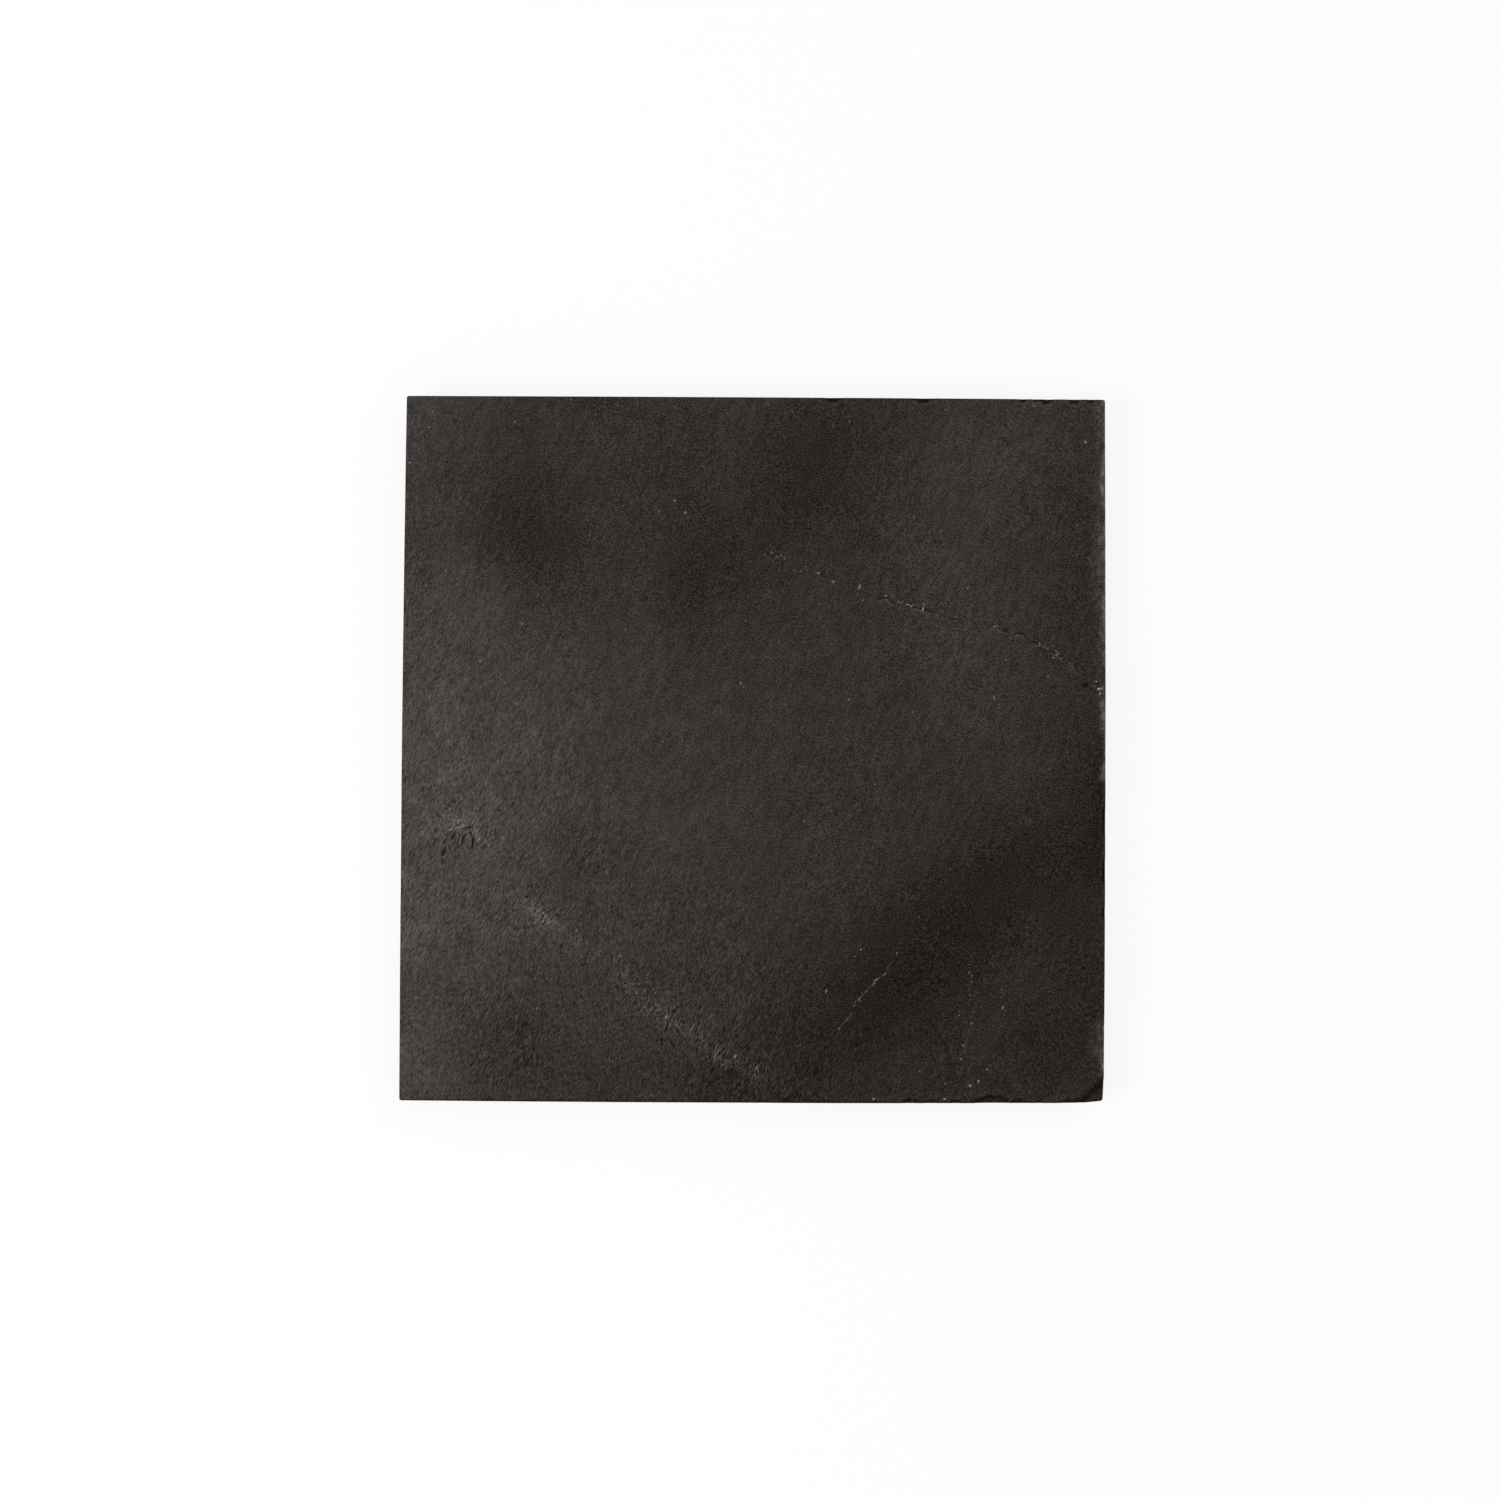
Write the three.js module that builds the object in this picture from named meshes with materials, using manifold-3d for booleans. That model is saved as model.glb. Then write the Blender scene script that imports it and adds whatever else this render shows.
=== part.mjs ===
// Slate trivet: a square of riven slate, split along its cleavage and sawn to size,
// standing on four moulded rubber feet that are stuck to its gauged back.
// Units are millimetres, +Z is up, the origin is on the table under the middle of the slab.
// +Y is the back edge of the slab and +X its right edge.

import * as THREE from "three";
import { mergeVertices } from "three/addons/utils/BufferGeometryUtils.js";
import Module from "manifold-3d";

// Slab: the sawn square and how far each corner and edge strays from it.
const SIDE = 200;
const SLAB_THICKNESS = 7;
const CORNER_STRAY = {
  frontLeft: [-0.4, 0.2],
  frontRight: [-0.3, -0.5],
  backRight: [0.1, -0.8],
  backLeft: [1.8, 0.3],
};
const EDGE_BOW = { front: 0.36, right: 0.34, back: 0.14, left: 0.32 };
const CORNER_RADIUS = 0.8;
const CURVE_STEPS = 8;

// Riven face: long swells and soft hollows under the highest cleavage plane, which stays flat.
const SWELLS = [
  { pitch: 87, turn: 154, height: 0.14, phase: 0.1 },
  { pitch: 53, turn: 28, height: 0.1, phase: 0.55 },
  { pitch: 31, turn: 171, height: 0.07, phase: 0.8 },
  { pitch: 23, turn: 112, height: 0.05, phase: 0.35 },
];
const HOLLOWS = [
  { at: [56, -53], length: 57, width: 17, turn: 42, depth: 0.7 },
  { at: [19, 78], length: 21, width: 17, turn: 20, depth: 0.5 },
  { at: [-14, 52], length: 14, width: 10, turn: 30, depth: 0.35 },
  { at: [-65, 64], length: 20, width: 13, turn: -25, depth: 0.45 },
  { at: [-68, -85], length: 17, width: 12, turn: 30, depth: 0.3 },
  { at: [-46, -29], length: 13, width: 9, turn: 60, depth: 0.3 },
  { at: [90, 30], length: 45, width: 8, turn: 90, depth: 0.35 },
];
const PLATEAU_RISE = 0.06;

// Scar: the ragged line where the top cleavage layer broke away from the front left corner.
const SCAR = {
  points: [
    [-105, -9], [-91, -16], [-82, -24], [-72, -31], [-64, -43], [-55, -51],
    [-44, -62], [-32, -73], [-18, -84], [-6, -88], [3, -91], [13, -105],
  ],
  drop: 0.45,
  width: 5,
};
const SCAR_STEPS = 90;
const CLEFT_CELL = 3.5;
const CLEFT_OVERHANG = 6;

// Arris: flakes knocked off the top edges, and stretches of them that are worn soft. Each lies at a
// share of its edge's length, going round from the front left corner.
const ARRIS_FLAKES = {
  front: [
    { at: 0.723, length: 3, bite: 1, drop: 0.6 },
    { at: 0.755, length: 5, bite: 0.8, drop: 0.5 },
    { at: 0.791, length: 2.5, bite: 1.1, drop: 0.6 },
    { at: 0.843, length: 11, bite: 2.2, drop: 1.2 },
    { at: 0.889, length: 6, bite: 0.8, drop: 0.5 },
    { at: 0.96, length: 7, bite: 1.2, drop: 0.8 },
  ],
  right: [
    { at: 0.27, length: 4, bite: 0.9, drop: 0.5 },
    { at: 0.33, length: 8, bite: 0.9, drop: 0.6 },
    { at: 0.4, length: 9, bite: 1, drop: 0.6 },
  ],
  back: [
    { at: 0.021, length: 2.8, bite: 1, drop: 0.6 },
    { at: 0.045, length: 3.2, bite: 1.2, drop: 0.7 },
    { at: 0.082, length: 3.6, bite: 1.4, drop: 0.8 },
    { at: 0.098, length: 2.2, bite: 0.9, drop: 0.5 },
    { at: 0.119, length: 2.8, bite: 1, drop: 0.6 },
    { at: 0.26, length: 6, bite: 1.2, drop: 0.6 },
    { at: 0.39, length: 6, bite: 1.2, drop: 0.6 },
  ],
  left: [
    { at: 0.3, length: 5, bite: 0.6, drop: 0.4 },
    { at: 0.7, length: 6, bite: 0.6, drop: 0.4 },
  ],
};
const WORN_STRETCHES = {
  right: [
    { at: 0.078, length: 18, bite: 4.6, drop: 0.6 },
    { at: 0.8, length: 82, bite: 4.2, drop: 0.6 },
  ],
};
const FLAKE_SIDES = 14;
const FLAKE_RINGS = 10;
const WORN_SIDES = 4;
const WORN_RINGS = 16;

// Corner: the wedge broken off at the front right, with a steep scarp and a floor that falls outwards.
const CORNER_BREAK = { alongFront: 7.8, alongRight: 7.6, scarp: 1.2, drop: 2.2 };

// Feet: moulded rubber bumpers with a drafted flank, and the adhesive discs that hold them.
const FOOT_INSET = 24;
const FOOT_DIAMETER = 18;
const FOOT_HEIGHT = 3;
const FOOT_DRAFT = 0.8;
const FOOT_EDGE_RADIUS = 0.9;
const FOOT_EDGE_STEPS = 4;
const ADHESIVE_MARGIN = 1;
const ADHESIVE_THICKNESS = 0.5;
const ROUND_SIDES = 32;

const slateGrey = new THREE.MeshStandardMaterial({ color: 0x35312e, roughness: 0.6, metalness: 0 });
const blackRubber = new THREE.MeshStandardMaterial({ color: 0x1b1b1c, roughness: 0.85, metalness: 0 });
const foamTape = new THREE.MeshStandardMaterial({ color: 0xb9b6ac, roughness: 0.5, metalness: 0 });

const slabBottom = FOOT_HEIGHT + ADHESIVE_THICKNESS;
const slabTop = slabBottom + SLAB_THICKNESS;

const wasm = await Module();
wasm.setup();

// A closed geometry as a solid that can be joined and cut.
function toSolid(geometry) {
  const bare = geometry.clone();
  bare.deleteAttribute("normal");
  bare.deleteAttribute("uv");
  const merged = mergeVertices(bare);
  return new wasm.Manifold(
    new wasm.Mesh({
      numProp: 3,
      vertProperties: merged.attributes.position.array,
      triVerts: new Uint32Array(merged.index.array),
    }),
  );
}

// A solid as a geometry for a mesh.
function toGeometry(solid) {
  const { vertProperties, triVerts } = solid.getMesh();
  const geometry = new THREE.BufferGeometry();
  geometry.setAttribute("position", new THREE.BufferAttribute(vertProperties, 3));
  geometry.setIndex(new THREE.BufferAttribute(triVerts, 1));
  geometry.computeVertexNormals();
  return geometry;
}

// The four corners of the sawn square, in order round the slab, centred on their own box.
function slabCorners() {
  const half = SIDE / 2;
  const corner = (x, y, [dx, dy]) => new THREE.Vector2(x + dx, y + dy);
  const corners = [
    corner(-half, -half, CORNER_STRAY.frontLeft),
    corner(half, -half, CORNER_STRAY.frontRight),
    corner(half, half, CORNER_STRAY.backRight),
    corner(-half, half, CORNER_STRAY.backLeft),
  ];
  const middle = new THREE.Box2().setFromPoints(corners).getCenter(new THREE.Vector2());
  return corners.map((c) => c.sub(middle));
}

// One sawn edge from corner to corner: its two ends short of the corners, and the bow between them.
function sawnEdge(from, to, bow) {
  const along = to.clone().sub(from).normalize();
  const outward = new THREE.Vector2(along.y, -along.x);
  const start = from.clone().addScaledVector(along, CORNER_RADIUS);
  const end = to.clone().addScaledVector(along, -CORNER_RADIUS);
  const middle = from.clone().add(to).multiplyScalar(0.5).addScaledVector(outward, 2 * bow);
  return { along, corner: to, curve: new THREE.QuadraticBezierCurve(start, middle, end) };
}

const [frontLeft, frontRight, backRight, backLeft] = slabCorners();
const edges = {
  front: sawnEdge(frontLeft, frontRight, EDGE_BOW.front),
  right: sawnEdge(frontRight, backRight, EDGE_BOW.right),
  back: sawnEdge(backRight, backLeft, EDGE_BOW.back),
  left: sawnEdge(backLeft, frontLeft, EDGE_BOW.left),
};

// The outline that the saw cut: four slightly bowed edges with rubbed corners.
function sawnOutline() {
  const outline = new THREE.Shape();
  outline.moveTo(edges.front.curve.v0.x, edges.front.curve.v0.y);
  Object.values(edges).forEach(({ curve: { v1: bow, v2: end }, corner }, i, all) => {
    const next = all[(i + 1) % all.length].curve.v0;
    outline.quadraticCurveTo(bow.x, bow.y, end.x, end.y);
    outline.quadraticCurveTo(corner.x, corner.y, next.x, next.y);
  });
  return outline;
}

const scarLine = new THREE.SplineCurve(SCAR.points.map(([x, y]) => new THREE.Vector2(x, y)));
const scarSteps = scarLine.getSpacedPoints(SCAR_STEPS);

// Fall from the top cleavage layer to the one below it, at a point: the nearest step of the scar
// gives the distance and the side, and the fall is complete one scar width past the line.
function scarFall(point) {
  const distances = scarSteps.map((step) => step.distanceTo(point));
  const nearest = distances.indexOf(Math.min(...distances));
  const along = scarLine.getTangentAt(nearest / SCAR_STEPS);
  const side = Math.sign(point.clone().sub(scarSteps[nearest]).cross(along));
  return SCAR.drop * THREE.MathUtils.smoothstep(side * distances[nearest], 0, SCAR.width);
}

// Height of one long swell at a point: a sine wave that runs in the direction of its turn.
function swellHeight({ pitch, turn, height, phase }, x, y) {
  const angle = THREE.MathUtils.degToRad(turn);
  const along = x * Math.cos(angle) + y * Math.sin(angle);
  return height * Math.sin(2 * Math.PI * (along / pitch + phase));
}

// Depth of one soft hollow at a point: an elliptical bell, turned on the face.
function hollowDepth({ at, length, width, turn, depth }, x, y) {
  const angle = THREE.MathUtils.degToRad(turn);
  const along = (x - at[0]) * Math.cos(angle) + (y - at[1]) * Math.sin(angle);
  const across = (y - at[1]) * Math.cos(angle) - (x - at[0]) * Math.sin(angle);
  return depth * Math.exp(-((along / length) ** 2) - (across / width) ** 2);
}

// Height of the riven face, never above its highest cleavage plane: swells rise to the plane and are
// cut off flat by it, hollows dip below it, and the scar drops the front left corner a layer.
function cleftHeight(x, y) {
  const swells = SWELLS.reduce((sum, swell) => sum + swellHeight(swell, x, y), 0);
  const hollows = HOLLOWS.reduce((sum, hollow) => sum + hollowDepth(hollow, x, y), 0);
  return Math.min(PLATEAU_RISE + swells - hollows, 0) - scarFall(new THREE.Vector2(x, y));
}

// The split block before sawing: wider than the slab, with the riven face on top. It is turned a
// quarter, so that the diagonals of its facets run along the scar.
function cleftBlock() {
  const width = SIDE + 2 * CLEFT_OVERHANG;
  const depth = SLAB_THICKNESS + CLEFT_OVERHANG;
  const cells = Math.round(width / CLEFT_CELL);
  const geometry = new THREE.BoxGeometry(width, width, depth, cells, cells, 1);
  geometry.rotateZ(Math.PI / 2);
  geometry.translate(0, 0, slabTop - depth / 2);
  const position = geometry.attributes.position;
  for (let i = 0; i < position.count; i++) {
    if (position.getZ(i) > slabBottom) {
      position.setZ(i, slabTop + cleftHeight(position.getX(i), position.getY(i)));
    }
  }
  return toSolid(geometry);
}

// The sawn blank: the outline, from the gauged back to above the riven face.
function sawnBlank() {
  const depth = SLAB_THICKNESS + CLEFT_OVERHANG;
  const geometry = new THREE.ExtrudeGeometry(sawnOutline(), {
    depth,
    bevelEnabled: false,
    curveSegments: CURVE_STEPS,
  });
  geometry.translate(0, 0, slabBottom);
  return toSolid(geometry);
}

// What breaks a stretch of an arris: a flake is a shell, which is an ellipsoid, and wear is a bevel, which
// is a spindle of diamond section. Both are of unit size here, with their length along X.
const shell = new THREE.SphereGeometry(1, FLAKE_SIDES, FLAKE_RINGS).rotateX(Math.PI / 2);
const bevel = new THREE.SphereGeometry(1, WORN_SIDES, WORN_RINGS).rotateZ(Math.PI / 2);

// One break of an arris: its form, centred on the arris and laid along the edge.
function arrisBreak(form, { curve, along }, { at, length, bite, drop }) {
  const { x, y } = curve.getPointAt(at);
  const geometry = form.clone();
  geometry.scale(length / 2, bite, drop);
  geometry.rotateZ(along.angle());
  geometry.translate(x, y, slabTop + cleftHeight(x, y));
  return toSolid(geometry);
}

// All the breaks of one form, edge by edge.
function arrisBreaks(form, places) {
  return Object.entries(places).flatMap(([name, breaks]) =>
    breaks.map((place) => arrisBreak(form, edges[name], place)),
  );
}

// The wedge off the front right corner: its section, seen along the scarp that runs across the corner
// from edge to edge, is carried along the scarp. X of the section points out to the corner.
function cornerBreak() {
  const { alongFront, alongRight, scarp, drop } = CORNER_BREAK;
  const from = frontRight.clone().addScaledVector(edges.front.along, -alongFront);
  const to = frontRight.clone().addScaledVector(edges.right.along, alongRight);
  const reach = alongFront + alongRight;
  const section = new THREE.Shape([
    new THREE.Vector2(0, -scarp),
    new THREE.Vector2(from.distanceTo(to) / 2, -drop),
    new THREE.Vector2(reach, -drop),
    new THREE.Vector2(reach, drop),
    new THREE.Vector2(0, drop),
  ]);
  const geometry = new THREE.ExtrudeGeometry(section, { depth: 2 * reach, bevelEnabled: false });
  geometry.translate(0, 0, -reach);
  const scarpLine = to.clone().sub(from).normalize();
  const outward = new THREE.Vector3(scarpLine.y, -scarpLine.x, 0);
  const up = new THREE.Vector3(0, 0, 1);
  const middle = from.add(to).multiplyScalar(0.5);
  const turn = new THREE.Matrix4().makeBasis(outward, up, outward.clone().cross(up));
  geometry.applyMatrix4(turn.setPosition(middle.x, middle.y, slabTop + cleftHeight(middle.x, middle.y)));
  return toSolid(geometry);
}

// The slab: the split block, sawn to the outline, with its top arrises and its corner broken.
function slateSlab() {
  const flakes = arrisBreaks(shell, ARRIS_FLAKES);
  const wear = arrisBreaks(bevel, WORN_STRETCHES);
  const breaks = [...flakes, ...wear, cornerBreak()];
  const slab = breaks.reduce((stone, chip) => stone.subtract(chip), sawnBlank().intersect(cleftBlock()));
  const mesh = new THREE.Mesh(toGeometry(slab), slateGrey);
  mesh.name = "slate_slab";
  return mesh;
}

// A rubber foot: a turned bumper, narrower at the table by its draft, with a rounded lower edge.
function rubberFoot(name) {
  const top = FOOT_DIAMETER / 2;
  const bottom = top - FOOT_DRAFT;
  const profile = new THREE.Path();
  profile.moveTo(0, 0);
  profile.lineTo(bottom - FOOT_EDGE_RADIUS, 0);
  profile.quadraticCurveTo(bottom, 0, bottom, FOOT_EDGE_RADIUS);
  profile.lineTo(top, FOOT_HEIGHT);
  profile.lineTo(0, FOOT_HEIGHT);
  const geometry = new THREE.LatheGeometry(profile.getPoints(FOOT_EDGE_STEPS), ROUND_SIDES);
  geometry.rotateX(Math.PI / 2);
  const mesh = new THREE.Mesh(geometry, blackRubber);
  mesh.name = name;
  return mesh;
}

// An adhesive disc: double-sided tape between a foot and the slab, a margin smaller than the foot.
function adhesiveDisc(name) {
  const radius = FOOT_DIAMETER / 2 - ADHESIVE_MARGIN;
  const geometry = new THREE.CylinderGeometry(radius, radius, ADHESIVE_THICKNESS, ROUND_SIDES);
  geometry.rotateX(Math.PI / 2);
  geometry.translate(0, 0, FOOT_HEIGHT + ADHESIVE_THICKNESS / 2);
  const mesh = new THREE.Mesh(geometry, foamTape);
  mesh.name = name;
  return mesh;
}

// The trivet: the slab, and a foot on its adhesive disc near each corner.
function slateTrivet() {
  const trivet = new THREE.Group();
  trivet.add(slateSlab());
  const reach = SIDE / 2 - FOOT_INSET;
  for (const [place, x, y] of [
    ["front_left", -reach, -reach],
    ["front_right", reach, -reach],
    ["back_right", reach, reach],
    ["back_left", -reach, reach],
  ]) {
    const support = new THREE.Group();
    support.position.set(x, y, 0);
    support.add(rubberFoot(`foot_${place}`), adhesiveDisc(`adhesive_${place}`));
    trivet.add(support);
  }
  return trivet;
}

export default slateTrivet();
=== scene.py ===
"""Dresses the slate trivet: a riven slate slab on moulded rubber feet that discs of foam tape hold.

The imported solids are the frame: +X runs to the slab's right edge, +Y to its back edge and +Z up out of
the riven face. Lengths are in millimetres, unless a name says otherwise, until a mesh is made.
"""

import logging
import math
from dataclasses import dataclass, field
from enum import Enum

import bpy
import numpy as np
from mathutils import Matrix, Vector


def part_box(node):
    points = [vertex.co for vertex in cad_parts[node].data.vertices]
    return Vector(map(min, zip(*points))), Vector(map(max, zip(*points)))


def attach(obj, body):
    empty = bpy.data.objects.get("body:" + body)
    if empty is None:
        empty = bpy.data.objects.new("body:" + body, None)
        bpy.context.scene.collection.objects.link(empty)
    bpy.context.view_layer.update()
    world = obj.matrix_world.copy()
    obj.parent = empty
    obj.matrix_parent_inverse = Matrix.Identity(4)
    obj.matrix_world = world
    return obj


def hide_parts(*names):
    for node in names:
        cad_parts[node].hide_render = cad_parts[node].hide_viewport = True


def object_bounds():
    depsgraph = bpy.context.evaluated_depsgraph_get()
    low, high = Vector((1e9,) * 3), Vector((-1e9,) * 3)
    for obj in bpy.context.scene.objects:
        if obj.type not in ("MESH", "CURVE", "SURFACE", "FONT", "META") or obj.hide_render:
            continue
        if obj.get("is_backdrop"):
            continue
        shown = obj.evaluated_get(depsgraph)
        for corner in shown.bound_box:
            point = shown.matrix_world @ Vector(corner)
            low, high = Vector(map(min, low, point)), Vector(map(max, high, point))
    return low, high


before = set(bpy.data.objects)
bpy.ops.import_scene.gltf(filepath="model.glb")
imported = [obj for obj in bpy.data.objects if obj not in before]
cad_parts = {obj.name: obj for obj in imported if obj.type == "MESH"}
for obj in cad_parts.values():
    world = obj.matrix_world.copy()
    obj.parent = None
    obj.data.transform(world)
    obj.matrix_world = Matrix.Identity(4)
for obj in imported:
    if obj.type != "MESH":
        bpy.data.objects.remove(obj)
CAD_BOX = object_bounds()

LOG = logging.getLogger("slate_trivet")
MM = 0.001  # of a metre
BODY = "root"
BAKE_CHART = "OFBake"
SHARP = math.radians(42)  # faces that meet at more than this keep a crisp edge between them
NOISE_SPAN = (0.25, 0.75)  # nearly all values of a noise pattern lie between these
FULL_SPECULAR = 0.08  # light that is mirrored straight on at a specular level of 1
NOISE_GAIN = 1.5  # brings the range of the gradient noise to about -1 to 1
LEAST_LIGHT = 0.0005  # no base colour is darker than this
NO_FLECK = (9.0, 9.0, 0.0)  # steps far away from any fleck, and its level
SCAR_FAR, VEIN_FAR = 9.0, 6.0  # distances from a scar and from a vein are held to these

Array = np.ndarray
Point = tuple[float, float]
Socket = bpy.types.NodeSocket
Tree = bpy.types.NodeTree
Material = bpy.types.Material
Piece = bpy.types.Object


def smoothstep(value: Array) -> Array:
    """Eases a value from 0 to 1: 3t² - 2t³, with t held between 0 and 1."""
    t = np.clip(value, 0.0, 1.0)
    return t * t * (3.0 - 2.0 * t)


def linear(level: Array) -> Array:
    """Turns sRGB levels between 0 and 1 to linear light, by the sRGB curve."""
    level = np.asarray(level, float)
    return np.where(level <= 0.04045, level / 12.92, ((level + 0.055) / 1.055) ** 2.4)


def rgba(hex_colour: str) -> tuple[float, float, float, float]:
    """Turns an sRGB hex colour such as #35312e to linear red, green, blue and alpha."""
    levels = [int(hex_colour[i : i + 2], 16) / 255 for i in (1, 3, 5)]
    return (*(float(c) for c in linear(levels)), 1.0)


def turned_axes(x: Array, y: Array, turn: float) -> tuple[Array, Array]:
    """Places along and across a direction that is turned from +X by so many degrees."""
    angle = math.radians(turn)
    return x * math.cos(angle) + y * math.sin(angle), y * math.cos(angle) - x * math.sin(angle)


def add_node(
    tree: Tree, kind: str, values: dict[str | int, object] | None = None,
    out: str | None = None, **settings: object,
) -> Socket:
    """Adds a node, sets it up and links it.

    Args:
        tree: The node tree that the node joins.
        kind: The node's type, without the ShaderNode in front.
        values: Its inputs by number, name or identifier. A socket is linked, and a value is set.
        out: The name of the output that is wanted, where it isn't the first one in use.
        **settings: The node's own properties.

    Returns:
        The output socket, ready to be linked. A node with no output gives its first input.
    """
    node = tree.nodes.new("ShaderNode" + kind)
    for name, setting in settings.items():
        setattr(node, name, setting)
    for key, value in (values or {}).items():
        named = [s for s in node.inputs if key in (s.identifier, s.name)]
        socket = node.inputs[key] if isinstance(key, int) else named[0]
        if isinstance(value, Socket):
            tree.links.new(value, socket)
        else:
            socket.default_value = value
    if out:
        return node.outputs[out]
    return next((s for s in node.outputs if s.enabled), None) or node.inputs[0]


def new_material(name: str) -> tuple[Material, Tree]:
    """Makes an empty node material.

    Args:
        name: Its name.

    Returns:
        The material and its node tree.
    """
    material = bpy.data.materials.new(name)
    material.use_nodes = True
    material.node_tree.nodes.clear()
    return material, material.node_tree


@dataclass(frozen=True)
class StoneNoise:
    """Seeded gradient noise, the irregularity of split stone, from about -1 to 1.

    Attributes:
        seed: What the lattice's directions are drawn from.
        lattice: How many lattice points there are each way before the noise repeats.
    """

    seed: int
    lattice: int = 256

    def at(self, x: Array, y: Array, pitch: float) -> Array:
        """One layer of noise at places on a surface.

        Lattice points one pitch apart each hold a random direction. The value at a place blends the four
        lattice points round it by a quintic fade, each giving the dot product of its direction with the
        step from it to the place.

        Args:
            x: Places along the surface.
            y: Places across it.
            pitch: Distance between lattice points.

        Returns:
            The noise at each place.
        """
        turns = np.random.default_rng(self.seed).uniform(0.0, math.tau, (self.lattice, self.lattice))
        px, py = x / pitch, y / pitch
        ix, iy = np.floor(px).astype(int), np.floor(py).astype(int)
        fx, fy = px - ix, py - iy

        def corner(dx: int, dy: int) -> Array:
            """The pull of one of the four lattice points."""
            turn = turns[(ix + dx) % self.lattice, (iy + dy) % self.lattice]
            return np.cos(turn) * (fx - dx) + np.sin(turn) * (fy - dy)

        wx, wy = (f**3 * (f * (6.0 * f - 15.0) + 10.0) for f in (fx, fy))
        near = corner(0, 0) + wx * (corner(1, 0) - corner(0, 0))
        far = corner(0, 1) + wx * (corner(1, 1) - corner(0, 1))
        return NOISE_GAIN * (near + wy * (far - near))

    def fractal(self, x: Array, y: Array, pitch: float, layers: int) -> Array:
        """Layers of noise, each with half the pitch and half the height of the one before it.

        Args:
            x: Places along the surface.
            y: Places across it.
            pitch: Pitch of the first layer.
            layers: How many layers there are.

        Returns:
            The sum of the layers at each place.
        """
        total = np.zeros(np.broadcast(x, y).shape)
        for layer in range(layers):
            total += StoneNoise(self.seed + layer).at(x, y, pitch / 2**layer) / 2**layer
        return total


@dataclass(frozen=True)
class Swell:
    """A long, low wave of the riven face that runs in the direction of its turn."""

    pitch: float
    turn: float
    height: float
    phase: float

    def height_at(self, x: Array, y: Array) -> Array:
        """Height of the wave: a sine of the distance along its direction."""
        along, _ = turned_axes(x, y, self.turn)
        return self.height * np.sin(math.tau * (along / self.pitch + self.phase))


@dataclass(frozen=True)
class Bell:
    """An elliptical bell, turned on the riven face: a hollow in its relief or a cloud in its tone.

    Attributes:
        at: Its middle.
        length: Half its length, where the bell has fallen to 1/e.
        width: Half its width there.
        turn: Direction of its length, in degrees from +X.
        size: Its depth in millimetres, or its grey levels.
    """

    at: Point
    length: float
    width: float
    turn: float
    size: float

    def value_at(self, x: Array, y: Array) -> Array:
        """Size of the bell at a place: exp of minus the squared elliptical distance."""
        along, across = turned_axes(x - self.at[0], y - self.at[1], self.turn)
        return self.size * np.exp(-((along / self.length) ** 2) - (across / self.width) ** 2)


def bells(*rows: tuple[float, ...]) -> tuple[Bell, ...]:
    """Makes bells of rows that give their middle's X and Y, length, width, turn and size."""
    return tuple(Bell((x, y), *rest) for x, y, *rest in rows)


@dataclass(frozen=True)
class StoneLine:
    """A line across the riven face, such as the scar or a vein, through listed points.

    Attributes:
        points: The points, in order along it.
        strength: How plain it is, up to 1, or down to -1 for a pale vein.
    """

    points: tuple[Point, ...]
    strength: float = 1.0

    def offset(self, x: Array, y: Array) -> Array:
        """Signed distance to the line, positive on its right hand as it runs from its first point.

        Each stretch between two points gives its own distance, with the foot of the perpendicular held
        between its ends, and the nearest stretch counts.

        Args:
            x: Places along X.
            y: Places along Y.

        Returns:
            The signed distance at each place.
        """
        nearest = np.full(np.shape(x), np.inf)
        for (ax, ay), (bx, by) in zip(self.points, self.points[1:]):
            sx, sy = bx - ax, by - ay
            foot = np.clip(((x - ax) * sx + (y - ay) * sy) / (sx * sx + sy * sy), 0.0, 1.0)
            distance = np.hypot(x - ax - foot * sx, y - ay - foot * sy)
            signed = np.copysign(distance, (x - ax) * sy - (y - ay) * sx)
            nearest = np.where(distance < np.abs(nearest), signed, nearest)
        return nearest


@dataclass(frozen=True)
class Fleck:
    """A small mark in the face: a pale grain of mineral, or a dark pit or crack.

    Attributes:
        x: Its middle along X.
        y: Its middle along Y.
        length: Half its length.
        width: Half its width.
        turn: Direction of its length, in degrees from +X.
        level: How plain it is, up to 1 for a pale mark and down to -1 for a dark one.
    """

    x: float
    y: float
    length: float
    width: float
    turn: float
    level: float

    def steps(self, x: Array, y: Array) -> tuple[Array, Array]:
        """Steps from its middle along its length and its width, in halves of them."""
        along, across = turned_axes(x - self.x, y - self.y, self.turn)
        return along / self.length, across / self.width


class Edge(Enum):
    """The slab's four edges, in order round it. Each runs on from the corner where the last one ends."""

    FRONT = "front"
    RIGHT = "right"
    BACK = "back"
    LEFT = "left"

    def places(self, u: Array, v: Array, side: float) -> tuple[Array, Array]:
        """Distance along the edge from its first corner, and across the face from it.

        Args:
            u: Share of the way from the left edge to the right one.
            v: Share of the way from the front edge to the back one.
            side: Length of the slab's side.

        Returns:
            The distances along and across.
        """
        along, across = {
            Edge.FRONT: (u, v), Edge.RIGHT: (v, 1.0 - u), Edge.BACK: (1.0 - u, 1.0 - v),
            Edge.LEFT: (1.0 - v, u),
        }[self]
        return along * side, across * side


class Breakage(Enum):
    """How an arris was broken."""

    FLAKE = "a shell-shaped flake knocked off"
    WEAR = "an edge rubbed soft"


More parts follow.
